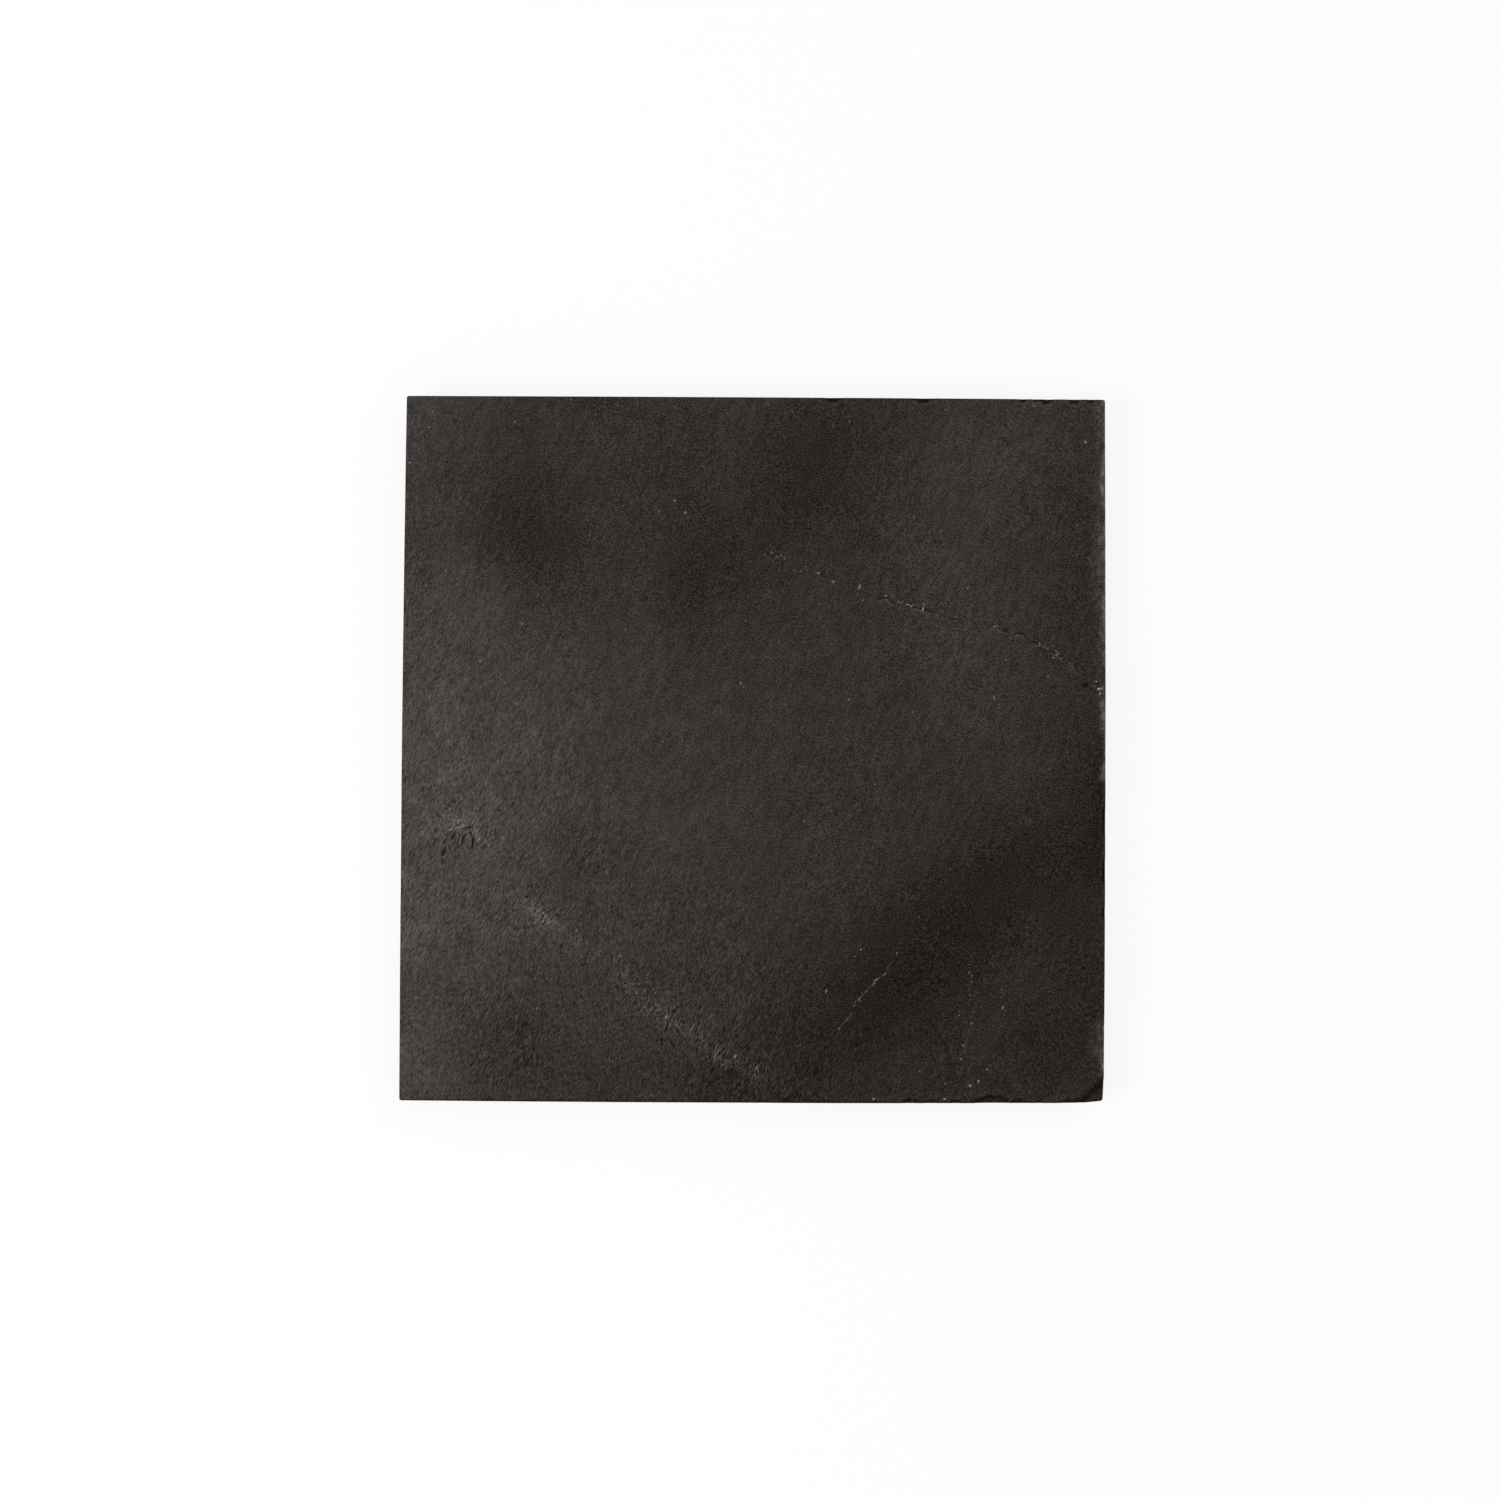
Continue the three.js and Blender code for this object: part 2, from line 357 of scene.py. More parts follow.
@dataclass(frozen=True)
class BreakTone:
    """How a broken arris changes the tone of the stone, in grey levels.

    Attributes:
        worn: Change at a worn arris, which falls evenly to 0 at the end of its bite.
        worn_arris: What is added on the arris itself, within about arris_width.
        rim: The pale rim of a flake, partly fresh stone and partly a painted highlight on its lip, or
            rusty_rim where it is stained, rim_at outside it. scarp: The painted shadow on its scarp,
            scarp_at outside it, which is below 0 for inside. inside: Painted shade on its floor, which
            comes in with its depth as steeply as inside_rise says.
        scarp: Its dark scarp, scarp_at outside it, which is below 0 for inside.
        inside: Its floor, which comes in with its depth as steeply as inside_rise says.
    """

    worn: float = 20.0
    worn_arris: float = 16.0
    arris_width: float = 1.1
    rim: float = 13.0
    rusty_rim: float = 4.0
    rim_at: float = 0.3
    rim_width: float = 0.3
    scarp: float = -24.0
    scarp_at: float = -0.4
    scarp_width: float = 0.5
    inside: float = -9.0
    inside_rise: float = 2.5


@dataclass(frozen=True)
class ArrisBreak:
    """One broken place on a top edge.

    Attributes:
        edge: The edge that it is on.
        at: Its middle, along the edge from the edge's first corner.
        length: Its length along the edge.
        bite: How far it reaches in across the face.
        drop: How deep it is at the arris.
        kind: How the arris was broken.
        rust: How much iron stain is in it, from 0 to 1.
        tone: How it changes the tone.
    """

    edge: Edge
    at: float
    length: float
    bite: float
    drop: float
    kind: Breakage = Breakage.FLAKE
    rust: float = 0.0
    tone: BreakTone = BreakTone()

    def bite_at(self, across: Array) -> Array:
        """Share of the bite that is left at a distance from the arris, from 1 on the arris to 0."""
        return np.clip(1.0 - across / self.bite, 0.0, 1.0)

    def fade_at(self, along: Array) -> Array:
        """1 less the fourth power of the share of the way from the middle to an end, and 0 past the end."""
        end = 2.0 * (along - self.at) / self.length
        return np.clip(1.0 - end**4, 0.0, 1.0)

    def reach_at(self, along: Array, across: Array) -> Array:
        """How far out in the break a place is, from 0 at its middle on the arris to 1 on its rim."""
        return np.hypot(2.0 * (along - self.at) / self.length, across / self.bite)

    def share_at(self, along: Array, across: Array) -> Array:
        """Share of the full drop at a place.

        A flake is a quarter of an ellipsoid that is centred on the arris. Wear falls off with the square of
        the distance from the arris, and fades out towards its two ends.

        Args:
            along: Distances along the edge.
            across: Distances across the face.

        Returns:
            The share, from 0 outside the break to 1 at its deepest.
        """
        if self.kind is Breakage.FLAKE:
            return np.sqrt(np.clip(1.0 - self.reach_at(along, across) ** 2, 0.0, 1.0))
        return self.bite_at(across) ** 2 * self.fade_at(along)

    def grey_at(self, along: Array, across: Array) -> Array:
        """Change in grey levels: a flake has a pale rim and a dark scarp, and a worn edge is pale.

        Args:
            along: Distances along the edge.
            across: Distances across the face.

        Returns:
            The change at each place.
        """
        tone = self.tone
        if self.kind is Breakage.WEAR:
            arris = np.exp(-((across / tone.arris_width) ** 2))
            band = tone.worn * self.bite_at(across) + tone.worn_arris * arris
            return band * self.fade_at(along)
        # A flake's rim is partly a painted highlight on its lip, its scarp a painted shadow and its floor
        # painted shade.
        past_rim = (self.reach_at(along, across) - 1.0) * self.bite
        palest = tone.rusty_rim if self.rust else tone.rim
        rim = palest * np.exp(-(((past_rim - tone.rim_at) / tone.rim_width) ** 2))
        scarp = tone.scarp * np.exp(-(((past_rim - tone.scarp_at) / tone.scarp_width) ** 2))
        share = self.share_at(along, across)
        return rim + scarp + tone.inside * smoothstep(tone.inside_rise * share)


def broken_places(edge: Edge, kind: Breakage, *rows: tuple[float, ...]) -> tuple[ArrisBreak, ...]:
    """Makes breaks on one edge, of rows that give their place, length, bite and drop, and rust if any."""
    return tuple(ArrisBreak(edge, *row[:4], kind, *row[4:]) for row in rows)


@dataclass(frozen=True)
class RubAndPaintedLight:
    """How an arris is rubbed all along.

    Attributes:
        edge: The edge that it is on.
        width: Width of its round.
        drop: Drop of its round.
        grey: Change in grey levels on the arris: painted shade where it is below 0, and a painted highlight
            where it is above.
    """

    edge: Edge
    width: float
    drop: float
    grey: float


@dataclass
class Skin:
    """A closed surface on its way to a mesh.

    Attributes:
        points: Its points in millimetres, three numbers each.
        quads: Its four-sided faces, as numbers of points.
        triangles: Its three-sided faces.
        values: Named numbers at the points, which the finish reads.
        corner_values: Named triples of numbers at the faces' corners, in the order of the faces.
        chart: Places of the faces' corners on the bake's picture, in the order of the faces.
    """

    points: Array
    quads: Array
    triangles: Array
    values: dict[str, Array] = field(default_factory=dict)
    corner_values: dict[str, Array] = field(default_factory=dict)
    chart: Array | None = None

    def stand_in(self, low: Vector, high: Vector) -> None:
        """Moves a surface from the origin to the middle of the lower side of a solid's box."""
        self.points += np.array([(low.x + high.x) / 2, (low.y + high.y) / 2, low.z]) / MM

    def to_object(self, name: str, material: Material) -> Piece:
        """Makes the mesh and its object.

        Args:
            name: Name of both.
            material: The finish of every face.

        Returns:
            The object, at the origin and in the scene.
        """
        mesh = bpy.data.meshes.new(name)
        mesh.from_pydata((self.points * MM).tolist(), [], self.quads.tolist() + self.triangles.tolist())
        mesh.polygons.foreach_set("use_smooth", np.ones(len(mesh.polygons), bool))
        for key, numbers in self.values.items():
            attribute = mesh.attributes.new(key, "FLOAT", "POINT")
            attribute.data.foreach_set("value", numbers.astype(np.float32))
        for key, triples in self.corner_values.items():
            attribute = mesh.attributes.new(key, "FLOAT_VECTOR", "CORNER")
            attribute.data.foreach_set("vector", triples.astype(np.float32).ravel())
        if self.chart is not None:
            layer = mesh.uv_layers.new(name=BAKE_CHART)
            layer.uv.foreach_set("vector", self.chart.astype(np.float32).ravel())
        mesh.materials.append(material)
        mesh.update()
        mesh.set_sharp_from_angle(angle=SHARP)
        piece = bpy.data.objects.new(name, mesh)
        bpy.context.scene.collection.objects.link(piece)
        return piece


def turned_skin(profile: Array, sides: int, trim: Array | float = 1.0) -> Skin:
    """Carries a profile round the Z axis: x = r cos a, y = r sin a, z = h.

    Args:
        profile: Radius and height of its points, from the axis below, round the outside, to the axis above.
        sides: How many steps the turn has.
        trim: What the radii are multiplied by at each step.

    Returns:
        The closed surface, with one point at each pole.
    """
    angle = np.arange(sides) * math.tau / sides
    radius, height = profile[1:-1, :1] * trim, profile[1:-1, 1:]
    rings = np.stack(np.broadcast_arrays(radius * np.cos(angle), radius * np.sin(angle), height), -1)
    poles = [[0.0, 0.0, profile[0, 1]], [0.0, 0.0, profile[-1, 1]]]
    number = np.arange(rings.shape[0] * sides).reshape(-1, sides)
    onward = np.roll(number, -1, axis=1)
    quads = np.stack([number[:-1], onward[:-1], onward[1:], number[1:]], -1).reshape(-1, 4)
    below, above = np.full(sides, number.size), np.full(sides, number.size + 1)
    caps = [np.stack([below, onward[0], number[0]], -1), np.stack([number[-1], onward[-1], above], -1)]
    return Skin(np.concatenate([rings.reshape(-1, 3), poles]), quads, np.concatenate(caps))


def show_piece(piece: Piece, node: str, slot: str) -> None:
    """Lets a piece stand for its CAD node, ride with the trivet's one body and log the name of its material
    slot.

    Args:
        piece: The piece.
        node: Name of the CAD node.
        slot: Name of the material slot, which is only logged.
    """
    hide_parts(node)
    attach(piece, BODY)
    LOG.info("%s: %d faces, stands for %s, slot %s", piece.name, len(piece.data.polygons), node, slot)


@dataclass(frozen=True)
class StonePattern:
    """A pattern of streaks or grains of a real size.

    Attributes:
        size: Length of its grains along its own X, Y and Z.
        turn: How far its own X is turned from the slab's +X, in degrees.
        detail: How many finer layers it has.
        contrast: What its departure from 0.5 is multiplied by.
    """

    size: tuple[float, float, float]
    turn: float = 0.0
    detail: float = 2.0
    contrast: float = 1.0

    def value(self, tree: Tree) -> Socket:
        """Adds the pattern on Object coordinates.

        Args:
            tree: The material's node tree.

        Returns:
            Its value, about 0.5 on average.
        """
        place = add_node(tree, "TexCoord", out="Object")
        scaled = add_node(
            tree,
            "Mapping",
            {
                "Vector": place, "Rotation": (0.0, 0.0, math.radians(self.turn)),
                "Scale": tuple(length * MM for length in self.size),
            },
            vector_type="TEXTURE",
        )
        noise = add_node(tree, "TexNoise", {"Vector": scaled, "Scale": 1.0, "Detail": self.detail})
        low, high = 0.5 - 0.5 * self.contrast, 0.5 + 0.5 * self.contrast
        return add_node(tree, "MapRange", {"Value": noise, "To Min": low, "To Max": high}, clamp=False)


@dataclass(frozen=True)
class Ledge:
    """A fine ledge of the scar.

    Attributes:
        offset: Its distance past the scar's line.
        wander: How far it strays from that.
        share: Its share of the drop.
    """

    offset: float
    wander: float
    share: float


@dataclass(frozen=True)
class VeinTrace:
    """A broken hairline that runs beside the veins.

    Attributes:
        offset: How far to the right of the vein it runs.
        half_width: Distance from its middle where it has faded out.
        strength: Strength on its middle, or below 0 for a line of the pale veins alone.
        gap: Value of the gap pattern under which it is gone.
    """

    offset: float
    half_width: float
    strength: float
    gap: float


@dataclass(frozen=True)
class RivenSlate:
    """Riven slate: clay stone split along its cleavage, sawn at the sides and ground flat on the back.

    It is dull and almost black, a warm grey that clouds lighter and darker, under a fine leathery grain
    that runs one way. Hairline veins carry pale mineral specks, and broken arrises show iron stain. The
    colours are as they show, with the pale sheen of the surroundings on them, which is taken off for the
    base colour. The real grain is too fine to show, so it is drawn a few times as coarse.
    """

    dark: str = "#1f1b18"
    light: str = "#544f4c"
    # Dark of cracks and pits, also used for the painted shadows at the ledges' feet and in the dark
    # strokes.
    crack: str = "#15110f"
    # Pale of the pale veins, also used for the painted highlights on the ledges' lips and in the pale
    # strokes.
    lip: str = "#7a7670"
    mineral: str = "#b8b4ac"
    rust: str = "#3b2a22"
    grain: StonePattern = StonePattern((0.42, 0.42, 0.42), detail=4.0, contrast=0.85)
    streak: StonePattern = StonePattern((1.4, 0.26, 0.5), turn=62.0, detail=2.0, contrast=1.9)
    stroke_pattern: StonePattern = StonePattern((1.3, 0.3, 0.4), turn=70.0, detail=2.0)
    wool: StonePattern = StonePattern((5.0, 1.6, 2.0), turn=66.0, detail=2.0)
    laminae: StonePattern = StonePattern((16.0, 16.0, 0.4))
    grinding: StonePattern = StonePattern((7.0, 0.6, 1.0), turn=12.0, detail=3.0, contrast=0.5)
    wander: StonePattern = StonePattern((2.6, 2.6, 2.6))
    gaps: StonePattern = StonePattern((3.0, 3.0, 3.0))
    ledge_rag: StonePattern = StonePattern((2.4, 1.7, 2.0), turn=20.0, detail=4.0)
    ledges: tuple[Ledge, ...] = (Ledge(-0.5, 1.8, 1.0), Ledge(1.3, 3.0, 0.6))
    ledge_width: float = 0.6
    ledge_gap: Point = (0.4, 0.6)
    ledge_least: float = 0.35
    ledge_bump: float = 3.0
    # Painted highlight on the scar ledges' lips.
    painted_lip_highlight: float = 0.25
    # Fine strokes at fresh breaks: painted highlights on the high ones and painted shadows on the low ones.
    highlight_stroke_levels: Point = (0.53, 0.72)
    shadow_stroke_levels: Point = (0.45, 0.28)
    painted_stroke_highlight: float = 0.47
    painted_stroke_shadow: float = 0.7
    # Painted shadow at the foot of each scar ledge.
    foot_shade: float = 0.3
    dark_trace: VeinTrace = VeinTrace(0.0, 0.4, 0.75, 0.45)
    pale_trace: VeinTrace = VeinTrace(0.5, 0.6, 0.13, 0.45)
    hairline: VeinTrace = VeinTrace(0.0, 0.26, -0.38, 0.36)
    trace_wander: float = 1.5
    trace_core: float = 0.2
    gap_ease: float = 0.15
    grain_shift: float = 0.34
    grain_contrast: float = 0.6
    wool_contrast: float = 0.29
    ragged_boost: float = 0.5
    roughness: tuple[float, float] = (0.8, 0.6)
    shine: float = 0.08
    ior: float = 1.5
    bump_height: float = 0.05
    bump_strength: float = 0.5
    speck_pitch: float = 0.6
    speck_fade: Point = (0.1, 0.4)
    speck_strength: float = 0.36
    stain: StonePattern = StonePattern((1.1, 0.6, 0.6), turn=10.0, detail=3.0)
    stain_levels: Point = (0.42, 0.6)
    fleck_rag: StonePattern = StonePattern((0.35, 0.35, 0.35), detail=1.0)
    fleck_wander: float = 1.4
    fleck_rim: float = 1.2
    fleck_fade: float = 0.6
    fleck_bump: float = 2.0

    def sheen(self) -> float:
        """Light that the stone mirrors from white surroundings, straight on."""
        return FULL_SPECULAR * self.shine

    def base(self, hex_colour: str) -> tuple[float, float, float, float]:
        """Base colour of a colour that shows with the sheen on it."""
        red, green, blue, alpha = rgba(hex_colour)
        return (*(max(c - self.sheen(), LEAST_LIGHT) for c in (red, green, blue)), alpha)

    def tone_of(self, grey: Array) -> Array:
        """Share of the way from the dark to the light colour, in linear light, that shows a grey level.

        Args:
            grey: The grey level, of 255.

        Returns:
            The share, 0 for the dark colour's green and 1 for the light one's.
        """
        dark, light = (int(colour[3:5], 16) for colour in (self.dark, self.light))
        low, high, wanted = (linear(level / 255) for level in (dark, light, np.asarray(grey)))
        return (wanted - low) / (high - low)

    def texture(self, tree: Tree) -> Socket:
        """Adds the grain of each zone: leathery on the face, layered on the sides, ground on the back.

        Args:
            tree: The material's node tree.

        Returns:
            The grain, 0 on average, about 1 at its lightest and stronger where the face is ragged.
        """
        value = self.grain.value(tree)
        for zone, pattern in (("streaky", self.streak), ("side", self.laminae), ("back", self.grinding)):
            share = add_node(tree, "Attribute", out="Fac", attribute_name=zone)
            value = add_node(
                tree, "Mix", {"Factor_Float": share, "A_Float": value, "B_Float": pattern.value(tree)}
            )
        low, high = NOISE_SPAN
        centred = add_node(
            tree, "MapRange",
            {"Value": value, "From Min": low, "From Max": high, "To Min": -1.0, "To Max": 1.0},
            clamp=False,
        )
        fresh = add_node(tree, "Attribute", out="Fac", attribute_name="fresh")
        boost = add_node(tree, "Math", {0: fresh, 1: self.ragged_boost, 2: 1.0}, operation="MULTIPLY_ADD")
        return add_node(tree, "Math", {0: centred, 1: boost}, operation="MULTIPLY")

    def scar_ledges(self, tree: Tree) -> tuple[Socket, Socket, Socket]:
        """Adds the fine ledges of the scar, where thin layers end in ragged lines.

        The signed distance past the scar, moved to and fro by a ragged pattern, eases from 0 to 1 over each
        ledge. A ledge's lip, 4s(1 - s) of its ease s, is 1 half way down, and its foot lies in the same way
        one ledge's width further on. All fade where the scar is not fresh or the gap pattern is low.

        Args:
            tree: The material's node tree.

        Returns:
            How far down the ledges a place is, the painted highlight on their lips and the painted shadow
            at their feet.
        """
        past = add_node(tree, "Attribute", out="Fac", attribute_name="scar")
        fresh = add_node(tree, "Attribute", out="Fac", attribute_name="fresh")
        none, full = self.ledge_gap
        gap = self.gaps.value(tree)
        there = add_node(
            tree, "MapRange",
            {"Value": gap, "From Min": none, "From Max": full, "To Min": self.ledge_least},
        )
        kept = add_node(tree, "Math", {0: fresh, 1: there}, operation="MULTIPLY")
        rag = self.ledge_rag.value(tree)
        down = lips = feet = 0.0
        for ledge in self.ledges:
            wander = 2.0 * ledge.wander
            moved = add_node(tree, "Math", {0: rag, 1: wander, 2: past}, operation="MULTIPLY_ADD")
            top = ledge.offset + ledge.wander
            rims = []
            for begin in (top, top + self.ledge_width):
                ease = add_node(
                    tree, "MapRange",
                    {"Value": moved, "From Min": begin, "From Max": begin + self.ledge_width},
                    interpolation_type="SMOOTHSTEP",
                )
                rest = add_node(tree, "Math", {0: 1.0, 1: ease}, operation="SUBTRACT")
                rims.append((ease, add_node(tree, "Math", {0: ease, 1: rest}, operation="MULTIPLY")))
            (ease, lip), (_, foot) = rims
            most = 4.0 * ledge.share
            down = add_node(tree, "Math", {0: ease, 1: ledge.share, 2: down}, operation="MULTIPLY_ADD")
            # The lips are a painted highlight, and the feet below them a painted shadow.
            lips = add_node(tree, "Math", {0: lip, 1: most, 2: lips}, operation="MULTIPLY_ADD")
            feet = add_node(tree, "Math", {0: foot, 1: most, 2: feet}, operation="MULTIPLY_ADD")
        shown = (down, lips, feet)
        return tuple(add_node(tree, "Math", {0: value, 1: kept}, operation="MULTIPLY") for value in shown)

    def painted_stroke_light(self, tree: Tree) -> tuple[Socket, Socket]:
        """Adds the fine strokes of the fresh breaks, where a short streaky pattern is high or low.

        Args:
            tree: The material's node tree.

        Returns:
            The painted highlight of the high strokes, and the painted shadow of the low ones.
        """
        fresh = add_node(tree, "Attribute", out="Fac", attribute_name="fresh")
        stroke = self.stroke_pattern.value(tree)
        shares = []
        # Painted highlight where the strokes are high, and painted shadow where they are low.
        for begin, end, most in ((*self.highlight_stroke_levels, self.painted_stroke_highlight), (*self.shadow_stroke_levels, self.painted_stroke_shadow)):
            share = add_node(
                tree, "MapRange", {"Value": stroke, "From Min": begin, "From Max": end, "To Max": most}
            )
            shares.append(add_node(tree, "Math", {0: fresh, 1: share}, operation="MULTIPLY"))
        return tuple(shares)

    def vein_line(self, tree: Tree, trace: VeinTrace) -> Socket:
        """Adds a broken hairline beside the veins.

        The signed distance to the vein, moved to and fro by a wandering pattern, is 0 on the line. It
        fades out with distance, between the vein's ends and where the gap pattern is low.

        Args:
            tree: The material's node tree.
            trace: The line.

        Returns:
            Strength of the line, from 0 up.
        """
        distance = add_node(tree, "Attribute", out="Fac", attribute_name="vein")
        low, high = -self.trace_wander - trace.offset, self.trace_wander - trace.offset
        stray = self.wander.value(tree)
        moved = add_node(tree, "MapRange", {"Value": stray, "To Min": low, "To Max": high})
        signed = add_node(tree, "Math", {0: distance, 1: moved})
        away = add_node(tree, "Math", {0: signed}, operation="ABSOLUTE")
        core, rim = self.trace_core * trace.half_width, trace.half_width
        line = add_node(
            tree, "MapRange",
            {"Value": away, "From Min": core, "From Max": rim, "To Min": trace.strength, "To Max": 0.0},
        )
        clear = trace.gap + self.gap_ease
        there = add_node(
            tree, "MapRange", {"Value": self.gaps.value(tree), "From Min": trace.gap, "From Max": clear}
        )
        near = add_node(tree, "Attribute", out="Fac", attribute_name="vein_near")
        kept = add_node(tree, "Math", {0: line, 1: there}, operation="MULTIPLY")
        return add_node(tree, "Math", {0: kept, 1: near}, operation="MULTIPLY")

    def iron_stain(self, tree: Tree) -> Socket:
        """Adds the iron stain of the broken arrises, in blots where the stain pattern is high.

        Args:
            tree: The material's node tree.

        Returns:
            How strong the stain is, from 0 to 1.
        """
        stained = add_node(tree, "Attribute", out="Fac", attribute_name="rust")
        none, full = self.stain_levels
        blots = add_node(
            tree, "MapRange", {"Value": self.stain.value(tree), "From Min": none, "From Max": full}
        )
        return add_node(tree, "Math", {0: stained, 1: blots}, operation="MULTIPLY")

    def placed_flecks(self, tree: Tree) -> Socket:
        """Adds the flecks that the face lists, as ellipses with a ragged rim.

        Args:
            tree: The material's node tree.

        Returns:
            How plain they are: above 0 on a pale one and below 0 on a dark one.
        """
        steps = add_node(tree, "Attribute", out="Vector", attribute_name="fleck")
        flat = add_node(tree, "VectorMath", {0: steps, 1: (1.0, 1.0, 0.0)}, operation="MULTIPLY")
        away = add_node(tree, "VectorMath", {0: flat}, out="Value", operation="LENGTH")
        rag = self.fleck_rag.value(tree)
        moved = add_node(tree, "Math", {0: rag, 1: self.fleck_wander, 2: away}, operation="MULTIPLY_ADD")
        rim = self.fleck_rim + self.fleck_wander / 2.0
        full = rim - self.fleck_fade
        inside = add_node(
            tree, "MapRange",
            {"Value": moved, "From Min": full, "From Max": rim, "To Min": 1.0, "To Max": 0.0},
        )
        level = add_node(tree, "SeparateXYZ", {0: steps}, out="Z")
        return add_node(tree, "Math", {0: inside, 1: level}, operation="MULTIPLY")

    def strewn_specks(self, tree: Tree) -> Socket:
        """Adds faint strewn specks: the middles of scattered cells.

        A cell holds a speck where its random number is below the share that the strewn attribute gives.

        Args:
            tree: The material's node tree.

        Returns:
            How plain the specks are, from 0 up.
        """
        place = add_node(tree, "TexCoord", out="Object")
        cell = {"Vector": place, "Scale": 1.0 / (self.speck_pitch * MM)}
        middle = add_node(tree, "TexVoronoi", cell, out="Distance")
        drawn = add_node(tree, "SeparateColor", {0: add_node(tree, "TexVoronoi", cell, out="Color")})
        wanted = add_node(tree, "Attribute", out="Fac", attribute_name="strewn")
        chosen = add_node(tree, "Math", {0: drawn, 1: wanted}, operation="LESS_THAN")
        full, none = self.speck_fade
        most = self.speck_strength
        spot = add_node(
            tree, "MapRange",
            {"Value": middle, "From Min": full, "From Max": none, "To Min": most, "To Max": 0.0},
        )
        return add_node(tree, "Math", {0: spot, 1: chosen}, operation="MULTIPLY")

    def material(self) -> Material:
        """Makes the material: clouds of tone, grain, veins, specks and stain, dull with a fine bump.

        The tone, shifted by the grain, goes from the dark to the light colour. It holds painted light and
        shade as well as the stone's own grey. The marks are laid over it one by one, and the grain and a
        wider woolly pattern then make the whole lighter and darker.

        Returns:
            The material.
        """
        material, tree = new_material("riven_slate")
        tone = add_node(tree, "Attribute", out="Fac", attribute_name="tone")
        texture = self.texture(tree)
        dark_line = self.vein_line(tree, self.dark_trace)
        down, lips, feet = self.scar_ledges(tree)
        flecks = self.placed_flecks(tree)
        stroke_highlights, stroke_shadows = self.painted_stroke_light(tree)
        shifted = add_node(
            tree, "Math", {0: texture, 1: self.grain_shift, 2: tone}, operation="MULTIPLY_ADD"
        )
        colour = add_node(
            tree, "Mix",
            {"Factor_Float": shifted, "A_Color": self.base(self.dark), "B_Color": self.base(self.light)},
            data_type="RGBA", clamp_factor=False,
        )
        # The ledges' lips and the pale strokes are painted highlights, and the ledges' feet and the dark
        # strokes are painted shadows.
        for share, tint in (
            (self.iron_stain(tree), self.rust), (self.vein_line(tree, self.pale_trace), self.lip),
            (self.vein_line(tree, self.hairline), self.lip),
            (add_node(tree, "Math", {0: lips, 1: self.painted_lip_highlight}, operation="MULTIPLY"), self.lip),
            (add_node(tree, "Math", {0: feet, 1: self.foot_shade}, operation="MULTIPLY"), self.crack),
            (stroke_highlights, self.lip), (stroke_shadows, self.crack), (dark_line, self.crack),
            (self.strewn_specks(tree), self.mineral), (flecks, self.mineral),
            (add_node(tree, "Math", {0: flecks, 1: -1.0}, operation="MULTIPLY"), self.crack),
        ):
            colour = add_node(
                tree, "Mix", {"Factor_Float": share, "A_Color": colour, "B_Color": self.base(tint)},
                data_type="RGBA",
            )
        low, high = NOISE_SPAN
        wool = add_node(
            tree,
            "MapRange",
            {
                "Value": self.wool.value(tree), "From Min": low, "From Max": high,
                "To Min": 1.0 - self.wool_contrast, "To Max": 1.0 + self.wool_contrast,
            },
            clamp=False,
        )
        depth = add_node(
            tree, "Math", {0: texture, 1: self.grain_contrast, 2: wool}, operation="MULTIPLY_ADD"
        )
        scaled = add_node(tree, "VectorMath", {0: colour, "Scale": depth}, operation="SCALE")
        darkest = (LEAST_LIGHT, LEAST_LIGHT, LEAST_LIGHT)
        grained = add_node(tree, "VectorMath", {0: scaled, 1: darkest}, operation="MAXIMUM")
        rough, smooth = self.roughness
        dullness = add_node(
            tree, "MapRange",
            {"Value": texture, "From Min": -1.0, "From Max": 1.0, "To Min": rough, "To Max": smooth},
        )
        pitted = add_node(
            tree, "Math", {0: flecks, 1: self.fleck_bump, 2: texture}, operation="MULTIPLY_ADD"
        )
        cracked = add_node(tree, "Math", {0: pitted, 1: dark_line}, operation="SUBTRACT")
        height = add_node(
            tree, "Math", {0: down, 1: -self.ledge_bump, 2: cracked}, operation="MULTIPLY_ADD"
        )
        bump = add_node(
            tree, "Bump",
            {"Strength": self.bump_strength, "Distance": self.bump_height * MM, "Height": height},
            out="Normal",
        )
        shader = add_node(
            tree,
            "BsdfPrincipled",
            {
                "Base Color": grained, "Roughness": dullness, "Specular IOR Level": self.shine,
                "IOR": self.ior, "Normal": bump,
            },
        )
        add_node(tree, "OutputMaterial", {"Surface": shader})
        return material


